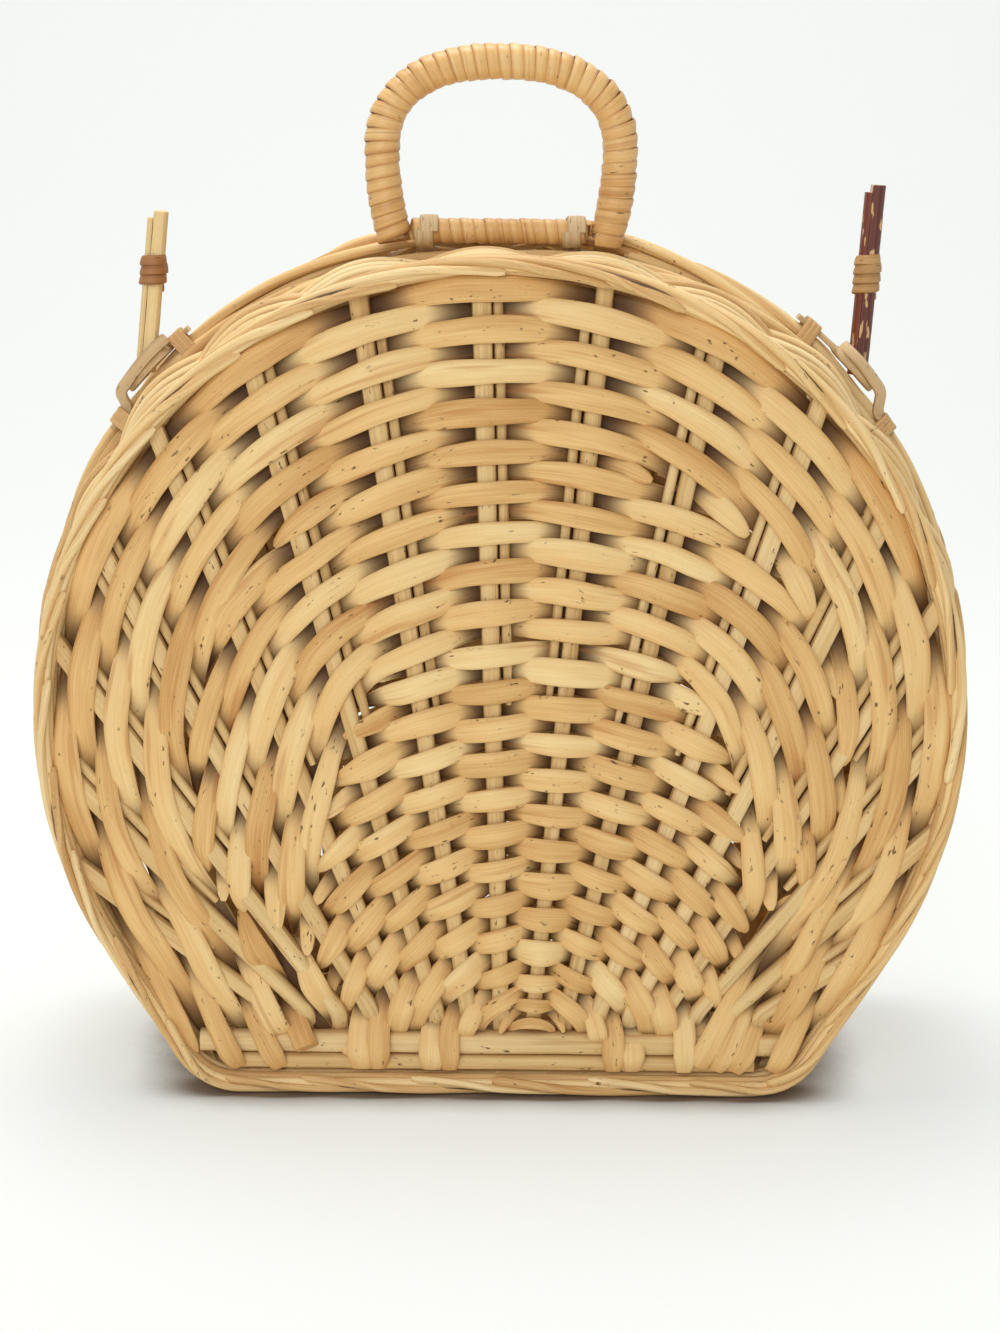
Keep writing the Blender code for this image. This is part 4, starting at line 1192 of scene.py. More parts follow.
def plant_fibre(
    name, picked, look, grain=True, variety=0.5, specks=0.85, stains=0.45, edges=0.35, blots=BLOTS
):
    """A material with fibre streaks, a tint for each strand, knots, stains, and painted shade along its
    edges and where a strand lies behind another.

    The picked colour takes the place of the look's middle one, and the light and dark follow.
    """
    material = bpy.data.materials.get(name)
    if material:
        return material
    material = bpy.data.materials.new(name)
    material.use_nodes = True
    tree = material.node_tree
    shader = tree.nodes["Principled BSDF"]

    def toned(code):
        return [a * b / c for a, b, c in zip(colour(code), (*picked, 1.0), colour(look.mid))]

    def math(operation, a, b=0.0, c=0.0, clamp=False):
        values = {0: a, 1: b, 2: c}
        return add_node(tree, "ShaderNodeMath", values, operation=operation, use_clamp=clamp).outputs[0]

    def noise(along_scale, across_scale, shift, detail=2.0):
        pairs = ((along, along_scale), (across, across_scale), (strand, shift))
        where = {i: math("MULTIPLY", value, scale) for i, (value, scale) in enumerate(pairs)}
        place = add_node(tree, "ShaderNodeCombineXYZ", where).outputs[0]
        values = {"Vector": place, "Scale": 1.0, "Detail": detail}
        return add_node(tree, "ShaderNodeTexNoise", values).outputs[0]

    def band(value, low, high):
        values = {0: value, 1: low, 2: high}
        return add_node(tree, "ShaderNodeMapRange", values, interpolation_type="SMOOTHSTEP").outputs[0]

    def blend(factor, a, b):
        node = add_node(tree, "ShaderNodeMix", {0: factor, 6: a, 7: b}, data_type="RGBA")
        return node.outputs[2]

    if grain:
        source = add_node(tree, "ShaderNodeAttribute", attribute_name="grain").outputs["Vector"]
        parts = add_node(tree, "ShaderNodeSeparateXYZ", {0: source}).outputs
        along, across, strand = parts[0], parts[1], parts[2]
        lone = add_node(
            tree, "ShaderNodeTexWhiteNoise", {"W": math("MULTIPLY", strand, 913.0)}, noise_dimensions="1D"
        ).outputs[0]
    else:
        source = add_node(tree, "ShaderNodeTexCoord").outputs["Object"]
        parts = add_node(tree, "ShaderNodeSeparateXYZ", {0: source}).outputs
        along = parts[2]
        across, strand = math("MULTIPLY", parts[0], 200.0), math("MULTIPLY", parts[1], 7.0)
        lone = math("ADD", 0.5, 0.0)

    streak = noise(look.along, look.streaks, 41.0, 3.0)
    drift = noise(look.along * 0.5, 0.7, 67.0)
    shade = math("MULTIPLY_ADD", math("SUBTRACT", streak, 0.5), 0.6, 0.5)
    shade = math("MULTIPLY_ADD", math("SUBTRACT", drift, 0.5), 0.7, shade)
    shade = math("MULTIPLY_ADD", math("SUBTRACT", lone, 0.5), variety, shade, clamp=True)
    ramp = add_node(tree, "ShaderNodeValToRGB", {0: shade})
    stops = ramp.color_ramp.elements
    stops[0].position, stops[0].color = 0.12, toned(look.dark)
    stops[1].position, stops[1].color = 0.86, toned(look.light)
    stops.new(0.48).color = toned(look.mid)
    tone = ramp.outputs[0]
    if grain:
        # Painted shade along a strand's edges, where it meets the next strand or turn
        rim = math("POWER", math("ABSOLUTE", across), 7.0)
        tone = blend(math("MULTIPLY", rim, edges), tone, toned(look.dark))
        # Painted shade: where a strand dives behind another it is blended towards the recess colour. On the
        # pegs the same attribute marks the bare cut wood, in its own pale colour
        hidden = add_node(tree, "ShaderNodeAttribute", attribute_name="recess").outputs["Fac"]
        tone = blend(math("MULTIPLY", band(hidden, 0.53, 1.0), 0.93), tone, colour(look.recess))
    blot = math("MULTIPLY", band(noise(blots[0], blots[1], 83.0), blots[2], blots[3]), stains)
    tone = blend(blot, tone, colour(look.stain))
    # Knots stand in groups: fine spots, kept only where a wide noise is high
    knot = band(noise(270.0, 2.8, 59.0, 3.0), 0.63, 0.71)
    knot = math("MULTIPLY", knot, band(noise(34.0, 0.8, 23.0), 0.50, 0.60))
    tone = blend(math("MULTIPLY", knot, specks), tone, colour(KNOT_BROWN))
    tree.links.new(tone, shader.inputs["Base Color"])

    rough = math("MULTIPLY_ADD", streak, 0.22, look.roughness - 0.11)
    tree.links.new(rough, shader.inputs["Roughness"])
    shader.inputs["Specular IOR Level"].default_value = look.sheen
    relief = math("MULTIPLY_ADD", noise(90.0, 1.4, 29.0), 1.2, streak)
    relief = math("MULTIPLY_ADD", knot, -0.8, relief)
    bump = add_node(tree, "ShaderNodeBump", {"Strength": look.bump, "Distance": 0.0004, "Height": relief})
    tree.links.new(bump.outputs[0], shader.inputs["Normal"])
    return material


def split_willow(picked):
    """Willow split and scraped flat: straw colour, fine fibres 0.4 mm across, brown knots."""
    look = Look(
        "#F4D79B", WILLOW_STRAW, "#C79251", "#BA7536", "#4A2A10",
        streaks=11.0, along=38.0, roughness=0.55, bump=0.5, sheen=0.35,
    )
    return plant_fibre("split_willow_scraped", picked, look)


def peeled_rods(picked):
    """Thin round willow rods, peeled: paler and smoother than the split strands."""
    look = Look(
        "#F7DDA6", ROD_STRAW, "#C29154", "#B87C3E", "#54361B",
        streaks=6.0, along=34.0, roughness=0.5, bump=0.5, sheen=0.4,
    )
    return plant_fibre("round_willow_peeled", picked, look, variety=0.6, stains=0.35, edges=0.55)


def rib_rods(picked):
    """Thicker rods, shaved flat for ribs: a duller, even straw colour."""
    look = Look(
        "#EDD09A", RIB_STRAW, "#B3884F", "#A5703A", "#84552A",
        streaks=5.0, along=22.0, roughness=0.6, bump=0.5, sheen=0.3,
    )
    return plant_fibre("willow_ribs_dry", picked, look, variety=0.35, stains=0.3, edges=0.5)


def wound_peel(picked):
    """Glossy outer peel of cane, wound while damp: honey tan, with painted shade at the edges where turns
    overlap.
    """
    look = Look(
        "#F3D093", PEEL_HONEY, "#B47740", "#A5622A", "#8A5526",
        streaks=9.0, along=24.0, roughness=0.38, bump=0.4, sheen=0.5,
    )
    return plant_fibre("cane_peel_wound", picked, look, variety=0.1, specks=0.85, stains=0.4, edges=0.8)


def flat_cane(picked):
    """Flat cane used for ties: grey-tan and fibrous, as it was never scraped."""
    look = Look(
        "#E6CDA2", CANE_GREY_TAN, "#96724A", "#9A6236", "#6E4C2A",
        streaks=9.0, along=22.0, roughness=0.55, bump=0.6, sheen=0.4,
    )
    return plant_fibre("flat_cane_dry", picked, look, variety=0.4, edges=0.5)


def tie_cane(picked):
    """The same flat cane with its smooth side out, where it is wound: orange tan."""
    look = Look(
        "#E9C890", CANE_ORANGE_TAN, "#9E6F3B", "#9A6236", "#6E4C2A",
        streaks=9.0, along=22.0, roughness=0.45, bump=0.5, sheen=0.45,
    )
    return plant_fibre("flat_cane_smooth", picked, look, variety=0.3, edges=0.8)


def pale_stick(picked):
    """A split stick of pale wood, knife cut: straight grain, almost no gloss."""
    look = Look(
        "#F8E3B2", PALE_WOOD, "#CDA668", "#B67D45", "#EBCB90",
        streaks=5.0, along=5.0, roughness=0.55, bump=0.4, sheen=0.35,
    )
    return plant_fibre("pale_split_wood", picked, look, specks=0.5, stains=0.2, edges=0.0)


def bark_stick(picked):
    """A twig with its red-brown bark on, worn through to pale wood in long flakes."""
    look = Look(
        "#965644", BARK_RED, "#4A2018", "#D9B078", "#DDBA88",
        streaks=6.0, along=5.0, roughness=0.42, bump=0.5, sheen=0.5,
    )
    return plant_fibre("red_bark_worn", picked, look, specks=0.3, stains=0.95, edges=0.0, blots=BARK_FLAKES)


def rust_lashing(picked):
    """Narrow cane soaked and pulled tight round the pale stick: rust brown, slightly glossy."""
    look = Look(
        "#CF9A60", LASHING_RUST, "#7C4B26", "#8A4A22", "#5A3218",
        streaks=8.0, along=20.0, roughness=0.45, bump=0.5, sheen=0.45,
    )
    return plant_fibre("cane_lashing_rust", picked, look, variety=0.2, edges=0.8)


def tan_lashing(picked):
    """The same narrow cane round the bark stick: dry tan."""
    look = Look(
        "#DDB982", LASHING_TAN, "#8A6236", "#94602E", "#5A3218",
        streaks=8.0, along=20.0, roughness=0.5, bump=0.5, sheen=0.4,
    )
    return plant_fibre("cane_lashing_tan", picked, look, variety=0.2, edges=0.8)


def core_rod(picked):
    """The bent rod inside the handle, seen only at its cut ends: raw, dull wood."""
    look = Look(
        "#DCC194", CORE_WOOD, "#8B6A42", "#8A5A34", "#6E4C2A",
        streaks=5.0, along=20.0, roughness=0.7, bump=0.4, sheen=0.3,
    )
    return plant_fibre("raw_rod_ends", picked, look, grain=False)


def studio_paper(picked):
    """Matt white paper that glows, a painted light, except near the case's foot, where an occlusion mask
    dims the glow and paints a grey-brown shadow.
    """
    material = bpy.data.materials.new("matt_white_paper")
    material.use_nodes = True
    tree = material.node_tree
    shader = tree.nodes["Principled BSDF"]
    # Painted shadow mask: 0 where the case is close within 32 mm, 1 in the open
    near = add_node(tree, "ShaderNodeAmbientOcclusion", {"Distance": 0.032}, samples=16).outputs["AO"]
    shaded = {0: near, 1: 0.4, 2: 0.95}
    clear = add_node(tree, "ShaderNodeMapRange", shaded, interpolation_type="SMOOTHSTEP").outputs[0]
    where = add_node(tree, "ShaderNodeTexCoord").outputs["Object"]
    values = {"Vector": where, "Scale": 350.0, "Detail": 2.0}
    grain = add_node(tree, "ShaderNodeTexNoise", values).outputs[0]
    darker = [0.97 * v for v in picked] + [1.0]
    tones = {0: grain, 6: darker, 7: (*picked, 1.0)}
    tone = add_node(tree, "ShaderNodeMix", tones, data_type="RGBA").outputs[2]
    # Painted shadow: grey-brown near the case's foot
    tones = {0: clear, 6: colour("#8F7E6C"), 7: tone}
    tone = add_node(tree, "ShaderNodeMix", tones, data_type="RGBA").outputs[2]
    tree.links.new(tone, shader.inputs["Base Color"])
    # Painted light: the paper glows, dimmed where the occlusion mask finds the case near
    shader.inputs["Emission Color"].default_value = colour("#F6FAF7")
    glow = add_node(tree, "ShaderNodeMath", {0: clear, 1: 0.47}, operation="MULTIPLY").outputs[0]
    tree.links.new(glow, shader.inputs["Emission Strength"])
    shader.inputs["Roughness"].default_value = 0.9
    shader.inputs["Specular IOR Level"].default_value = 0.1
    return material


# Sizes that a user would change


def length_property(name, description, default):
    return FloatProperty(name=name, description=description, default=default, unit="LENGTH", precision=4)


def colour_property(name, description, code):
    picked = colour(code)[:3]
    return FloatVectorProperty(
        name=name, description=description, default=picked, size=3, min=0.0, max=1.0, subtype="COLOR"
    )


class WeaveSizes(bpy.types.PropertyGroup):
    ring_rows: IntProperty(
        name="Rows round the arch", description="Rows that follow the outline of a face", default=18, min=4
    )
    fan_size: FloatProperty(
        name="Fan size", description="Size of the inner fan of rows", default=1.0, min=0.7, max=1.2
    )
    row_pitch: length_property("Row spacing", "Least spacing of the rows of a face", 0.0072)
    strand_width: length_property("Strand width", "Width of a split strand where it shows", 0.0098)
    strand_thickness: length_property("Strand thickness", "Thickness of a split strand", 0.0021)
    weave_depth: length_property("Weave depth", "How far strands pass in front of the ribs' middle", 0.0041)
    wall_pitch: length_property("Wall row spacing", "Spacing of the rods of the walls", 0.0046)
    wall_rod: length_property("Wall rod thickness", "Thickness of the wall's rods", 0.0043)


class BorderSizes(bpy.types.PropertyGroup):
    border_rod: length_property("Border rod thickness", "Thickness of a border rod", 0.0035)
    border_step: length_property("Tip spacing", "Distance between the rod tips on a face border", 0.037)
    rim_rod: length_property("Rim rod thickness", "Thickness of a rim rod", 0.0045)
    rim_pitch: length_property("Rim twist", "Length of rim in which its rods turn once", 0.25)


class FrameSizes(bpy.types.PropertyGroup):
    rib_width: length_property("Rib width", "Width of a rib", 0.0070)
    side_rod: length_property("Side rod thickness", "Thickness of the rods beside the outer ribs", 0.0037)
    lower_rod: length_property("Lower base rod", "Thickness of the lower base rod", 0.0070)
    upper_rod: length_property("Upper base rod", "Thickness of the upper base rod", 0.0085)


class HandleSizes(bpy.types.PropertyGroup):
    peel_width: length_property("Peel width", "Width of the strip wound on the handle", 0.0056)
    peel_pitch: length_property("Peel pitch", "Spacing of the turns on the handle", 0.0047)
    cane_width: length_property("Strap cane width", "Width of the flat cane of the straps", 0.0048)


class PegSizes(bpy.types.PropertyGroup):
    lashing_pitch: length_property("Lashing pitch", "Spacing of the turns round a peg", 0.0037)
    eye_cane: length_property("Eye cane width", "Width of the flat cane of the eyes", 0.0046)


class Colours(bpy.types.PropertyGroup):
    willow: colour_property("Split willow", "Middle colour of the split strands of the faces", WILLOW_STRAW)
    rods: colour_property("Willow rods", "Middle colour of the rods of walls, borders and rims", ROD_STRAW)
    ribs: colour_property("Ribs", "Middle colour of the ribs and base rods", RIB_STRAW)
    peel: colour_property("Handle peel", "Middle colour of the strip wound on the handle", PEEL_HONEY)
    core: colour_property("Handle core", "Middle colour of the handle's rod at its cut ends", CORE_WOOD)
    cane: colour_property("Flat cane", "Middle colour of the straps, hinge ties and eyes", CANE_GREY_TAN)
    whipping: colour_property("Eye whipping", "Middle colour of the cane round the eyes", CANE_ORANGE_TAN)
    pale_wood: colour_property("Pale peg", "Middle colour of the left peg's wood", PALE_WOOD)
    bark: colour_property("Bark peg", "Middle colour of the right peg's bark", BARK_RED)
    rust: colour_property("Left lashing", "Middle colour of the cane round the left peg", LASHING_RUST)
    tan: colour_property("Right lashing", "Middle colour of the cane round the right peg", LASHING_TAN)
    paper: colour_property("Paper", "Colour of the floor and backdrop", PAPER_GREY)


# The pieces


def settings(context):
    return context.scene.wicker_case


class CasePiece:
    """What every operator of the case shares."""

    bl_options = {"REGISTER", "UNDO"}


SHELLS = (("front", -1, "front_shell"), ("back", 1, "back_shell"))
STAKE_THICKNESS = 0.0055


class WICKER_OT_faces(CasePiece, bpy.types.Operator):
    """Weave both faces from split willow strands"""

    bl_idname = "wicker.faces"
    bl_label = "Woven faces"

    def execute(self, context):
        sizes = settings(context).weave
        for prefix, side, body in SHELLS:
            swept_piece(
                prefix + "_face_willow",
                face_strands(side, sizes, 11 if side < 0 else 23),
                body,
                "willow",
                split_willow(settings(context).colours.willow),
                (prefix + "_face_weave",),
                strand_width=sizes.strand_width,
                strand_thickness=sizes.strand_thickness,
                weave_depth=sizes.weave_depth,
                seed=3 if side < 0 else 8,
            )
        return {"FINISHED"}


class WICKER_OT_walls(CasePiece, bpy.types.Operator):
    """Weave both side walls from round willow rods"""

    bl_idname = "wicker.walls"
    bl_label = "Woven walls"

    def execute(self, context):
        sizes, looks = settings(context).weave, settings(context).colours
        # The wall's rods keep the default Recess: painted shade where they pass behind the ribs and stakes
        woven_rod = dict(
            weave_depth=0.0045,
            waist=0.95,
            belly=1.0,
            flatness=1.0,
            wander=0.0006,
            unevenness=0.15,
            section_points=8,
        )
        for prefix, side, body in SHELLS:
            swept_piece(
                prefix + "_wall_willow",
                wall_strands(side, sizes, 31 + side),
                body,
                "willow",
                peeled_rods(looks.rods),
                (prefix + "_side_weave",),
                strand_width=sizes.wall_rod,
                strand_thickness=sizes.wall_rod,
                seed=41 + side,
                **woven_rod,
            )
            swept_piece(
                prefix + "_wall_stakes",
                stake_strands(side),
                body,
                "rib_rod",
                rib_rods(looks.ribs),
                strand_width=STAKE_THICKNESS,
                strand_thickness=STAKE_THICKNESS,
                wander=0.0,
                unevenness=0.1,
                seed=51 + side,
                **ROUND,
            )
        return {"FINISHED"}


class WICKER_OT_borders(CasePiece, bpy.types.Operator):
    """Lay the oval borders round the faces and the twisted rims at the seam"""

    bl_idname = "wicker.borders"
    bl_label = "Borders and rims"

    def execute(self, context):
        sizes, looks = settings(context).borders, settings(context).colours
        rim_rod = dict(ROUND, wander=0.0005, unevenness=0.2, section_points=9)
        # Recess on: the border's hidden core rods get painted shade
        border_rod = dict(rim_rod, recess=1.0, wander=0.0011)
        for prefix, side, body in SHELLS:
            swept_piece(
                prefix + "_border_rods",
                border_strands(side, sizes, 61 + side),
                body,
                "border_rod",
                peeled_rods(looks.rods),
                (prefix + "_face_border",),
                strand_width=sizes.border_rod,
                strand_thickness=sizes.border_rod,
                seed=71 + side,
                **border_rod,
            )
            swept_piece(
                prefix + "_rim_rods",
                rim_strands(side, sizes, 81 + side),
                body,
                "border_rod",
                peeled_rods(looks.rods),
                (prefix + "_seam_border",),
                strand_width=sizes.rim_rod,
                strand_thickness=sizes.rim_rod,
                seed=91 + side,
                **rim_rod,
            )
        return {"FINISHED"}


# Distance from the seam and height, where a rib's arm dives behind the base rods
RIB_DIVE = ((0.0535, 0.029), (0.0478, 0.022), (0.0468, 0.018))
RIB_TURN = (0.0468, 0.0125)
# How far beside a rib its thin companion rods stand, and where along it each begins
COMPANION_SHIFT = 0.0062
COMPANION_STARTS = (0.45, 0.7)
# The fourth arm from either end has a rod on both sides
PAIRED_ARMS = (3, 12)


def rib_strands(side, number):
    """One rib, bent double on the base rods, and the thin rods that stiffen its outer half."""
    arms = []
    companions = []
    for index in (2 * number, 2 * number + 1):
        foot, _, direction = rib_line(index)
        turn_inset = BORDER_WIDTH + RIB_SEAT + RIB_RADIUS
        loop = arc_outline(FACE, turn_inset + RIB_RADIUS)
        end = ray_end(foot, direction, loop)
        arm = [face_point(foot.lerp(end, i / 40), side, size=0.92 + 0.18 * i / 40) for i in range(41)]
        corner = ray_end(foot, direction, arc_outline(FACE, turn_inset))
        outward = (corner - CENTRE).normalized()
        turned = Vector((outward.x, 0, outward.y))
        flat = SHELL_DEPTH - FACE_SETBACK - WEAVE_THICKNESS - RIB_SEAT - 3 * RIB_RADIUS
        bend = [(corner, flat)]
        for y in (WALL_END - 0.003, 0.036, 0.028, 0.020, WALL_START, RIM_Y + RIM_RADIUS + 0.0003):
            bend.append((ray_end(foot, direction, wall_outline(side, y, WALL_RIB_INSET)), y))
        line = [Vector((p.x, side * y, p.y)) for p, y in bend]
        line = smoothed(resample(line, 0.003), 4)
        arm += [Point(p, turned) for p in line]
        arms.append(arm)
        # The rib's flat face runs on under the border's rods
        start, stop = end - 0.015 * direction, ray_end(foot, direction, arc_outline(FACE, 0.005))
        line = [start.lerp(stop, i / 8) for i in range(9)]
        companions.append([face_point(p, side, size=1.06, lift=-0.0004) for p in line])
        across = Vector((-direction.y, direction.x))
        # The thin rod stands on the side of the rib that faces the middle of the arch
        hand = -1 if index > 7 else 1
        sides = (hand, -hand) if index in PAIRED_ARMS else (hand,)
        for turned_to, first in zip(sides, COMPANION_STARTS):
            start = foot.lerp(end, first) + across * (COMPANION_SHIFT * turned_to)
            stop = ray_end(start, direction, loop)
            count = max(6, round((stop - start).length / 0.004))
            strand = []
            for i in range(count + 1):
                size = 0.55 * min(1.0, 0.6 + 0.1 * i)
                strand.append(face_point(start.lerp(stop, i / count), side, size=size, lift=-0.0008))
            companions.append(strand)
    # Behind the base rods, where the two arms are one rod
    right, left = arms[0][0].place, arms[1][0].place
    down = [Vector((right.x, side * y, z)) for y, z in RIB_DIVE]
    up = [Vector((left.x, side * y, z)) for y, z in reversed(RIB_DIVE)]
    bend = Vector(((right.x + left.x) / 2, side * RIB_TURN[0], RIB_TURN[1]))
    line = [arms[0][1].place, right, *down, bend, *up, left, arms[1][1].place]
    line = smoothed(resample(line, 0.002), 5)
    turn = [Point(p, Vector((0, side, 0))) for p in line[1:-1]]
    return [list(reversed(arms[0][2:])) + turn + arms[1][2:]] + companions


class WICKER_OT_ribs(CasePiece, bpy.types.Operator):
    """Set the fan of ribs into both trays"""

    bl_idname = "wicker.ribs"
    bl_label = "Ribs and base rods"

    def execute(self, context):
        sizes, looks = settings(context).frame, settings(context).colours
        shaved = dict(LAID, belly=1.0, flatness=0.5, wander=0.0004, unevenness=0.12)
        for prefix, side, body in SHELLS:
            for number in range(8):
                swept_piece(
                    f"{prefix}_rib_rods_{number + 1}",
                    rib_strands(side, number),
                    body,
                    "rib_rod",
                    rib_rods(looks.ribs),
                    (f"{prefix}_rib_{number + 1}",),
                    strand_width=sizes.rib_width,
                    strand_thickness=0.006,
                    seed=100 + number,
                    **shaved,
                )
            for name, thick, height in (
                ("lower", sizes.lower_rod, LOWER_ROD_HEIGHT),
                ("upper", sizes.upper_rod, UPPER_ROD_HEIGHT),
            ):
                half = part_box(f"{prefix}_base_rod_{name}")[1][0]
                y = side * (SHELL_DEPTH - FACE_SETBACK - WEAVE_THICKNESS - CLOSE_GAP - thick / 2)
                places = [Vector((half * (i / 30 - 1), y, height)) for i in range(61)]
                strand = [Point(place, Vector((0, side, 0))) for place in places]
                swept_piece(
                    f"{prefix}_base_willow_{name}",
                    [strand],
                    body,
                    "rib_rod",
                    rib_rods(looks.ribs),
                    (f"{prefix}_base_rod_{name}",),
                    strand_width=thick,
                    strand_thickness=thick,
                    section_points=16,
                    seed=120 + round(height * 1000),
                    **shaved,
                )
        return {"FINISHED"}


def rim_height(x):
    """Height of the back rim's middle above x."""
    reach = BACK_SEAM[0] - RIM_INSET - RIM_RADIUS
    return CENTRE.y + sqrt(reach**2 - x**2)


class WICKER_OT_handle(CasePiece, bpy.types.Operator):
    """Wind the hoop handle and its bar with peel, and tie the bar to the back rim"""

    bl_idname = "wicker.handle"
    bl_label = "Handle and straps"

    def execute(self, context):
        sizes, looks = settings(context).handle, settings(context).colours
        rng = Random(5)
        y_axis = Vector((0, 1, 0))
        peel = dict(LAID, belly=0.6, wander=0.0, unevenness=0.12, section_points=10)
        peel.update(strand_width=sizes.peel_width, strand_thickness=0.0013)
        half = BAR_HALF_LENGTH - HOOP_RADIUS - CLOSE_GAP
        bar = [Vector((HANDLE_X + x, HANDLE_Y, BAR_HEIGHT)) for x in (-half, half)]
        for name, line, radius, seed in (
            ("hoop", hoop_line(), HOOP_WINDING_RADIUS, 2),
            ("bar", bar, BAR_WINDING_RADIUS, 4),
        ):
            swept_piece(
                f"handle_{name}_peel",
                [peel_turns(line, radius, sizes.peel_pitch, radians(7), rng, y_axis)],
                "handle",
                "handle_peel",
                wound_peel(looks.peel),
                (f"handle_{name}_wrap",),
                seed=seed,
                **peel,
            )
        for name in ("handle_hoop_core", "handle_bar_core"):
            give_material(name, core_rod(looks.core))
        flat = dict(LAID, belly=0.6, wander=0.0002, unevenness=0.1, strand_thickness=0.0012)
        for name, hand in (("left", -1), ("right", 1)):
            x = HANDLE_X + STRAP_SPREAD * hand
            members = [(HANDLE_Y, BAR_HEIGHT, 0.0048), (RIM_Y, rim_height(x), RIM_RADIUS + 0.0007)]
            frame = axes(y_axis, Vector((0, 0, 1)), Vector((1, 0, 0)), Vector((x, 0, 0)))
            strand = wound_band(members, 0.0009, frame, 2, 0.0047)
            swept_piece(
                "handle_strap_cane_" + name,
                [strand],
                "back_shell",
                "cane_tie",
                flat_cane(looks.cane),
                ("handle_strap_" + name,),
                strand_width=sizes.cane_width,
                seed=6,
                **flat,
            )
        for name, x in HINGE_TIES:
            members = [(-RIM_Y, 0, RIM_RADIUS), (RIM_Y, 0, RIM_RADIUS)]
            frame = axes(y_axis, Vector((0, 0, 1)), Vector((1, 0, 0)), Vector((x, 0, HINGE_HEIGHT)))
            strand = wound_band(members, 0.0009, frame, 3, 0.0082)
            swept_piece(
                "hinge_tie_cane_" + name,
                [strand],
                "hinge_ties",
                "cane_tie",
                flat_cane(looks.cane),
                ("hinge_tie_" + name,),
                strand_width=TIE_CANE_WIDTH,
                seed=7,
                **flat,
            )
        return {"FINISHED"}


def give_material(name, material):
    """A carried-over solid takes a new material in its own slots."""
    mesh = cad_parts[name].data
    for i in range(max(1, len(mesh.materials))):
        if i < len(mesh.materials):
            mesh.materials[i] = material
        else:
            mesh.materials.append(material)


class WICKER_OT_pegs(CasePiece, bpy.types.Operator):
    """Finish the two stick pegs and the cane eyes that hold them"""

    bl_idname = "wicker.pegs"
    bl_label = "Pegs and eyes"

    def execute(self, context):
        sizes, looks = settings(context).pegs, settings(context).colours
        y_axis = Vector((0, 1, 0))
        flat = dict(LAID, belly=0.8, wander=0.0003, unevenness=0.14)
        for name, wood, knife_cut, lashing in (
            ("left", pale_stick(looks.pale_wood), 0.72, rust_lashing(looks.rust)),
            ("right", bark_stick(looks.bark), 0.95, tan_lashing(looks.tan)),
        ):
            peg = PEGS[name]
            rng = Random(17 if name == "left" else 19)
            foot, along = peg_axis(peg)
            across = Vector((along.z, 0, -along.x))
            frame = axes(across, y_axis, along, foot + along * peg.seat)
            for part, slat, length in (("stick", False, peg.length), ("slat", True, peg.length - 0.003)):
                section = half_stick(slat, knife_cut)
                piece = whittled(f"{name}_peg_{part}_wood", section, length, frame, rng, 0.016, wood)
                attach(piece, name + "_peg")
                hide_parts(f"{name}_peg_{part}")
            middle = foot + along * (peg.seat + peg.length - peg.lashing)
            half = along * (sizes.lashing_pitch * peg.turns / 2)
            line = [middle - half, middle + half]
            turns = peel_turns(line, LASHING_RADIUS, sizes.lashing_pitch, radians(11), rng, y_axis)
            # Both ends are tucked under the turns
            last = len(turns) - 1
            tucked = [-0.0009 * max(0.0, 1 - min(i, last - i) / 9) for i in range(last + 1)]
            turns = [p._replace(lift=lift) for p, lift in zip(turns, tucked)]
            swept_piece(
                name + "_peg_lashing_cane",
                [turns],
                name + "_peg",
                "peg_lashing",
                lashing,
                (name + "_peg_lashing",),
                strand_width=sizes.lashing_pitch * 1.12,
                strand_thickness=0.0014,
                seed=9,
                **flat,
            )
            spread = EYE_RADIUS + 0.00015
            both = (RIM_Y - spread, RIM_Y + spread)
            for side, body, strand, arc, tails, turns in (
                ("back", "back_shell", back_eye_strand(peg), peg.back_tie, both, 3),
                ("front", "front_shell", front_eye_strand(peg), peg.front_tie, (-RIM_Y,), 4),
            ):
                swept_piece(
                    f"{side}_eye_cane_{name}",
                    [strand],
                    body,
                    "cane_tie",
                    flat_cane(looks.cane),
                    (f"{side}_eye_{name}",),
                    strand_width=sizes.eye_cane * (0.85 if side == "back" else 1.0),
                    strand_thickness=0.0025,
                    seed=12,
                    **flat,
                )
                sign = 1 if side == "back" else -1
                swept_piece(
                    f"{side}_eye_whipping_{name}",
                    [eye_whipping(peg, sign, arc, tails, turns)],
                    body,
                    "cane_tie",
                    tie_cane(looks.whipping),
                    (f"{side}_eye_tie_{name}",),
                    strand_width=0.0027 if turns == 3 else 0.0021,
                    strand_thickness=0.0016,
                    seed=13,
                    **flat,
                )
        return {"FINISHED"}


PAPER_HALF_WIDTH = 6.0
PAPER_FRONT = -5.0
# The floor turns up into the wall on a quarter circle in this many steps
PAPER_BEND_START = 1.1
PAPER_BEND_RADIUS = 0.8
PAPER_BEND_STEPS = 12
PAPER_TOP = 3.5
# The paper lies this much below the case's feet, so that no faces coincide
PAPER_SINK = 0.0002
# Name, place, what it points at, size in metres and power in watts
LIGHTS = (
    ("top_soft", (-0.2, 0.24, 1.85), (0, 0, 0.1), 0.8, 14.5),
    ("front_soft", (-0.45, -1.9, 1.15), (0, 0, 0.15), 1.4, 19.0),
    ("paper_wash", (0.0, 0.9, 2.4), (0, 1.6, 0.4), 2.2, 16.0),
)
SKY_STRENGTH = 0.40
CAMERA_PLACE = Vector((0, -0.974, 0.386))
CAMERA_AIM = Vector((0, 0, 0.161))
CAMERA_ROLL = radians(0.6)
FOCAL_LENGTH_MM = 65.2


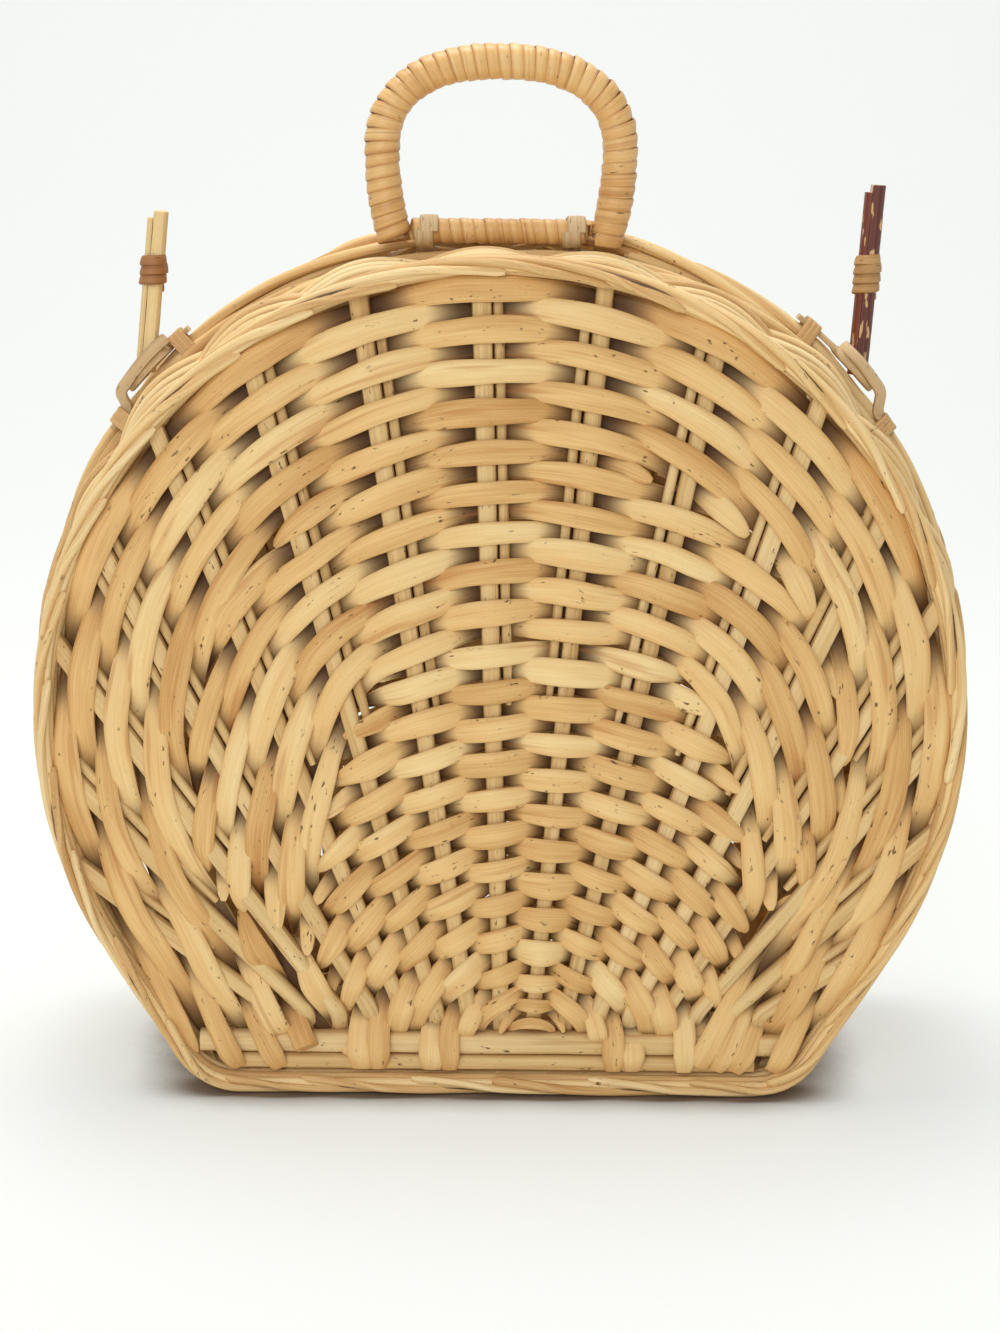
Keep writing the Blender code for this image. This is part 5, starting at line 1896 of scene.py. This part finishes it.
class WICKER_OT_stage(CasePiece, bpy.types.Operator):
    """Set up the white paper, the soft lights and the camera"""

    bl_idname = "wicker.stage"
    bl_label = "Stage, lights and camera"

    def execute(self, context):
        scene = context.scene
        profile = [(PAPER_FRONT, 0.0), (PAPER_BEND_START, 0.0)]
        for i in range(1, PAPER_BEND_STEPS + 1):
            angle = pi / 2 * i / PAPER_BEND_STEPS
            across, up = PAPER_BEND_RADIUS * sin(angle), PAPER_BEND_RADIUS * (1 - cos(angle))
            profile.append((PAPER_BEND_START + across, up))
        profile.append((PAPER_BEND_START + PAPER_BEND_RADIUS, PAPER_TOP))
        mesh = bpy.data.meshes.new("paper")
        sides = (-PAPER_HALF_WIDTH, PAPER_HALF_WIDTH)
        points = [(x, y, z - PAPER_SINK) for y, z in profile for x in sides]
        faces = [(2 * i, 2 * i + 1, 2 * i + 3, 2 * i + 2) for i in range(len(profile) - 1)]
        mesh.from_pydata(points, [], faces)
        mesh.shade_smooth()
        mesh.materials.append(studio_paper(settings(context).colours.paper))
        paper = linked_object("paper", mesh)
        world = bpy.data.worlds.new("studio")
        world.use_nodes = True
        sky = world.node_tree.nodes["Background"]
        sky.inputs[0].default_value = colour("#FBFCFF")
        sky.inputs[1].default_value = SKY_STRENGTH
        scene.world = world
        for name, place, aim, size, power in LIGHTS:
            lamp = bpy.data.lights.new(name, "AREA")
            lamp.size = size
            lamp.energy = power
            light = linked_object(name, lamp)
            light.location = place
            light.rotation_euler = (Vector(aim) - Vector(place)).to_track_quat("-Z", "Y").to_euler()
        lens = bpy.data.cameras.new("camera")
        lens.lens = FOCAL_LENGTH_MM
        lens.sensor_width = 36
        lens.shift_x, lens.shift_y = -0.0006, 0.0055
        camera = linked_object("camera", lens)
        turn = (CAMERA_AIM - CAMERA_PLACE).to_track_quat("-Z", "Y").to_matrix().to_4x4()
        roll = Matrix.Rotation(CAMERA_ROLL, 4, "Z")
        camera.matrix_world = Matrix.Translation(CAMERA_PLACE) @ turn @ roll
        scene.camera = camera
        scene.view_settings.view_transform = "Standard"
        return {"FINISHED"}


class WickerCase(bpy.types.PropertyGroup):
    weave: PointerProperty(type=WeaveSizes, name="Weave", description="Sizes of the faces and walls")
    borders: PointerProperty(type=BorderSizes, name="Borders", description="Sizes of the borders and rims")
    frame: PointerProperty(type=FrameSizes, name="Frame", description="Sizes of the ribs and base rods")
    handle: PointerProperty(type=HandleSizes, name="Handle", description="Sizes of the handle's windings")
    pegs: PointerProperty(type=PegSizes, name="Pegs", description="Sizes of the canes at the pegs")
    colours: PointerProperty(type=Colours, name="Colours", description="Colours of the materials")


class WICKER_PT_case(bpy.types.Panel):
    """The case's sizes and the buttons that make its pieces"""

    bl_idname = "WICKER_PT_case"
    bl_label = "Wicker case"
    bl_space_type = "VIEW_3D"
    bl_region_type = "UI"
    bl_category = "Wicker"

    def draw(self, context):
        case = settings(context)
        groups = (case.weave, case.borders, case.frame, case.handle, case.pegs, case.colours)
        for group in groups:
            box = self.layout.box()
            for name in group.bl_rna.properties.keys():
                if name not in {"rna_type", "name"}:
                    box.prop(group, name)
        for piece in PIECES:
            self.layout.operator(piece.bl_idname)


PIECES = (
    WICKER_OT_faces,
    WICKER_OT_walls,
    WICKER_OT_borders,
    WICKER_OT_ribs,
    WICKER_OT_handle,
    WICKER_OT_pegs,
    WICKER_OT_stage,
)
CLASSES = (
    WeaveSizes, BorderSizes, FrameSizes, HandleSizes, PegSizes, Colours, WickerCase, *PIECES, WICKER_PT_case
)


def register():
    for item in CLASSES:
        bpy.utils.register_class(item)
    bpy.types.Scene.wicker_case = PointerProperty(
        type=WickerCase, name="Wicker case", description="Sizes and colours of the wicker case"
    )


def unregister():
    del bpy.types.Scene.wicker_case
    for item in reversed(CLASSES):
        bpy.utils.unregister_class(item)


def main():
    register()
    bpy.ops.wicker.faces()
    bpy.ops.wicker.walls()
    bpy.ops.wicker.borders()
    bpy.ops.wicker.ribs()
    bpy.ops.wicker.handle()
    bpy.ops.wicker.pegs()
    bpy.ops.wicker.stage()


if __name__ == "__main__":
    main()
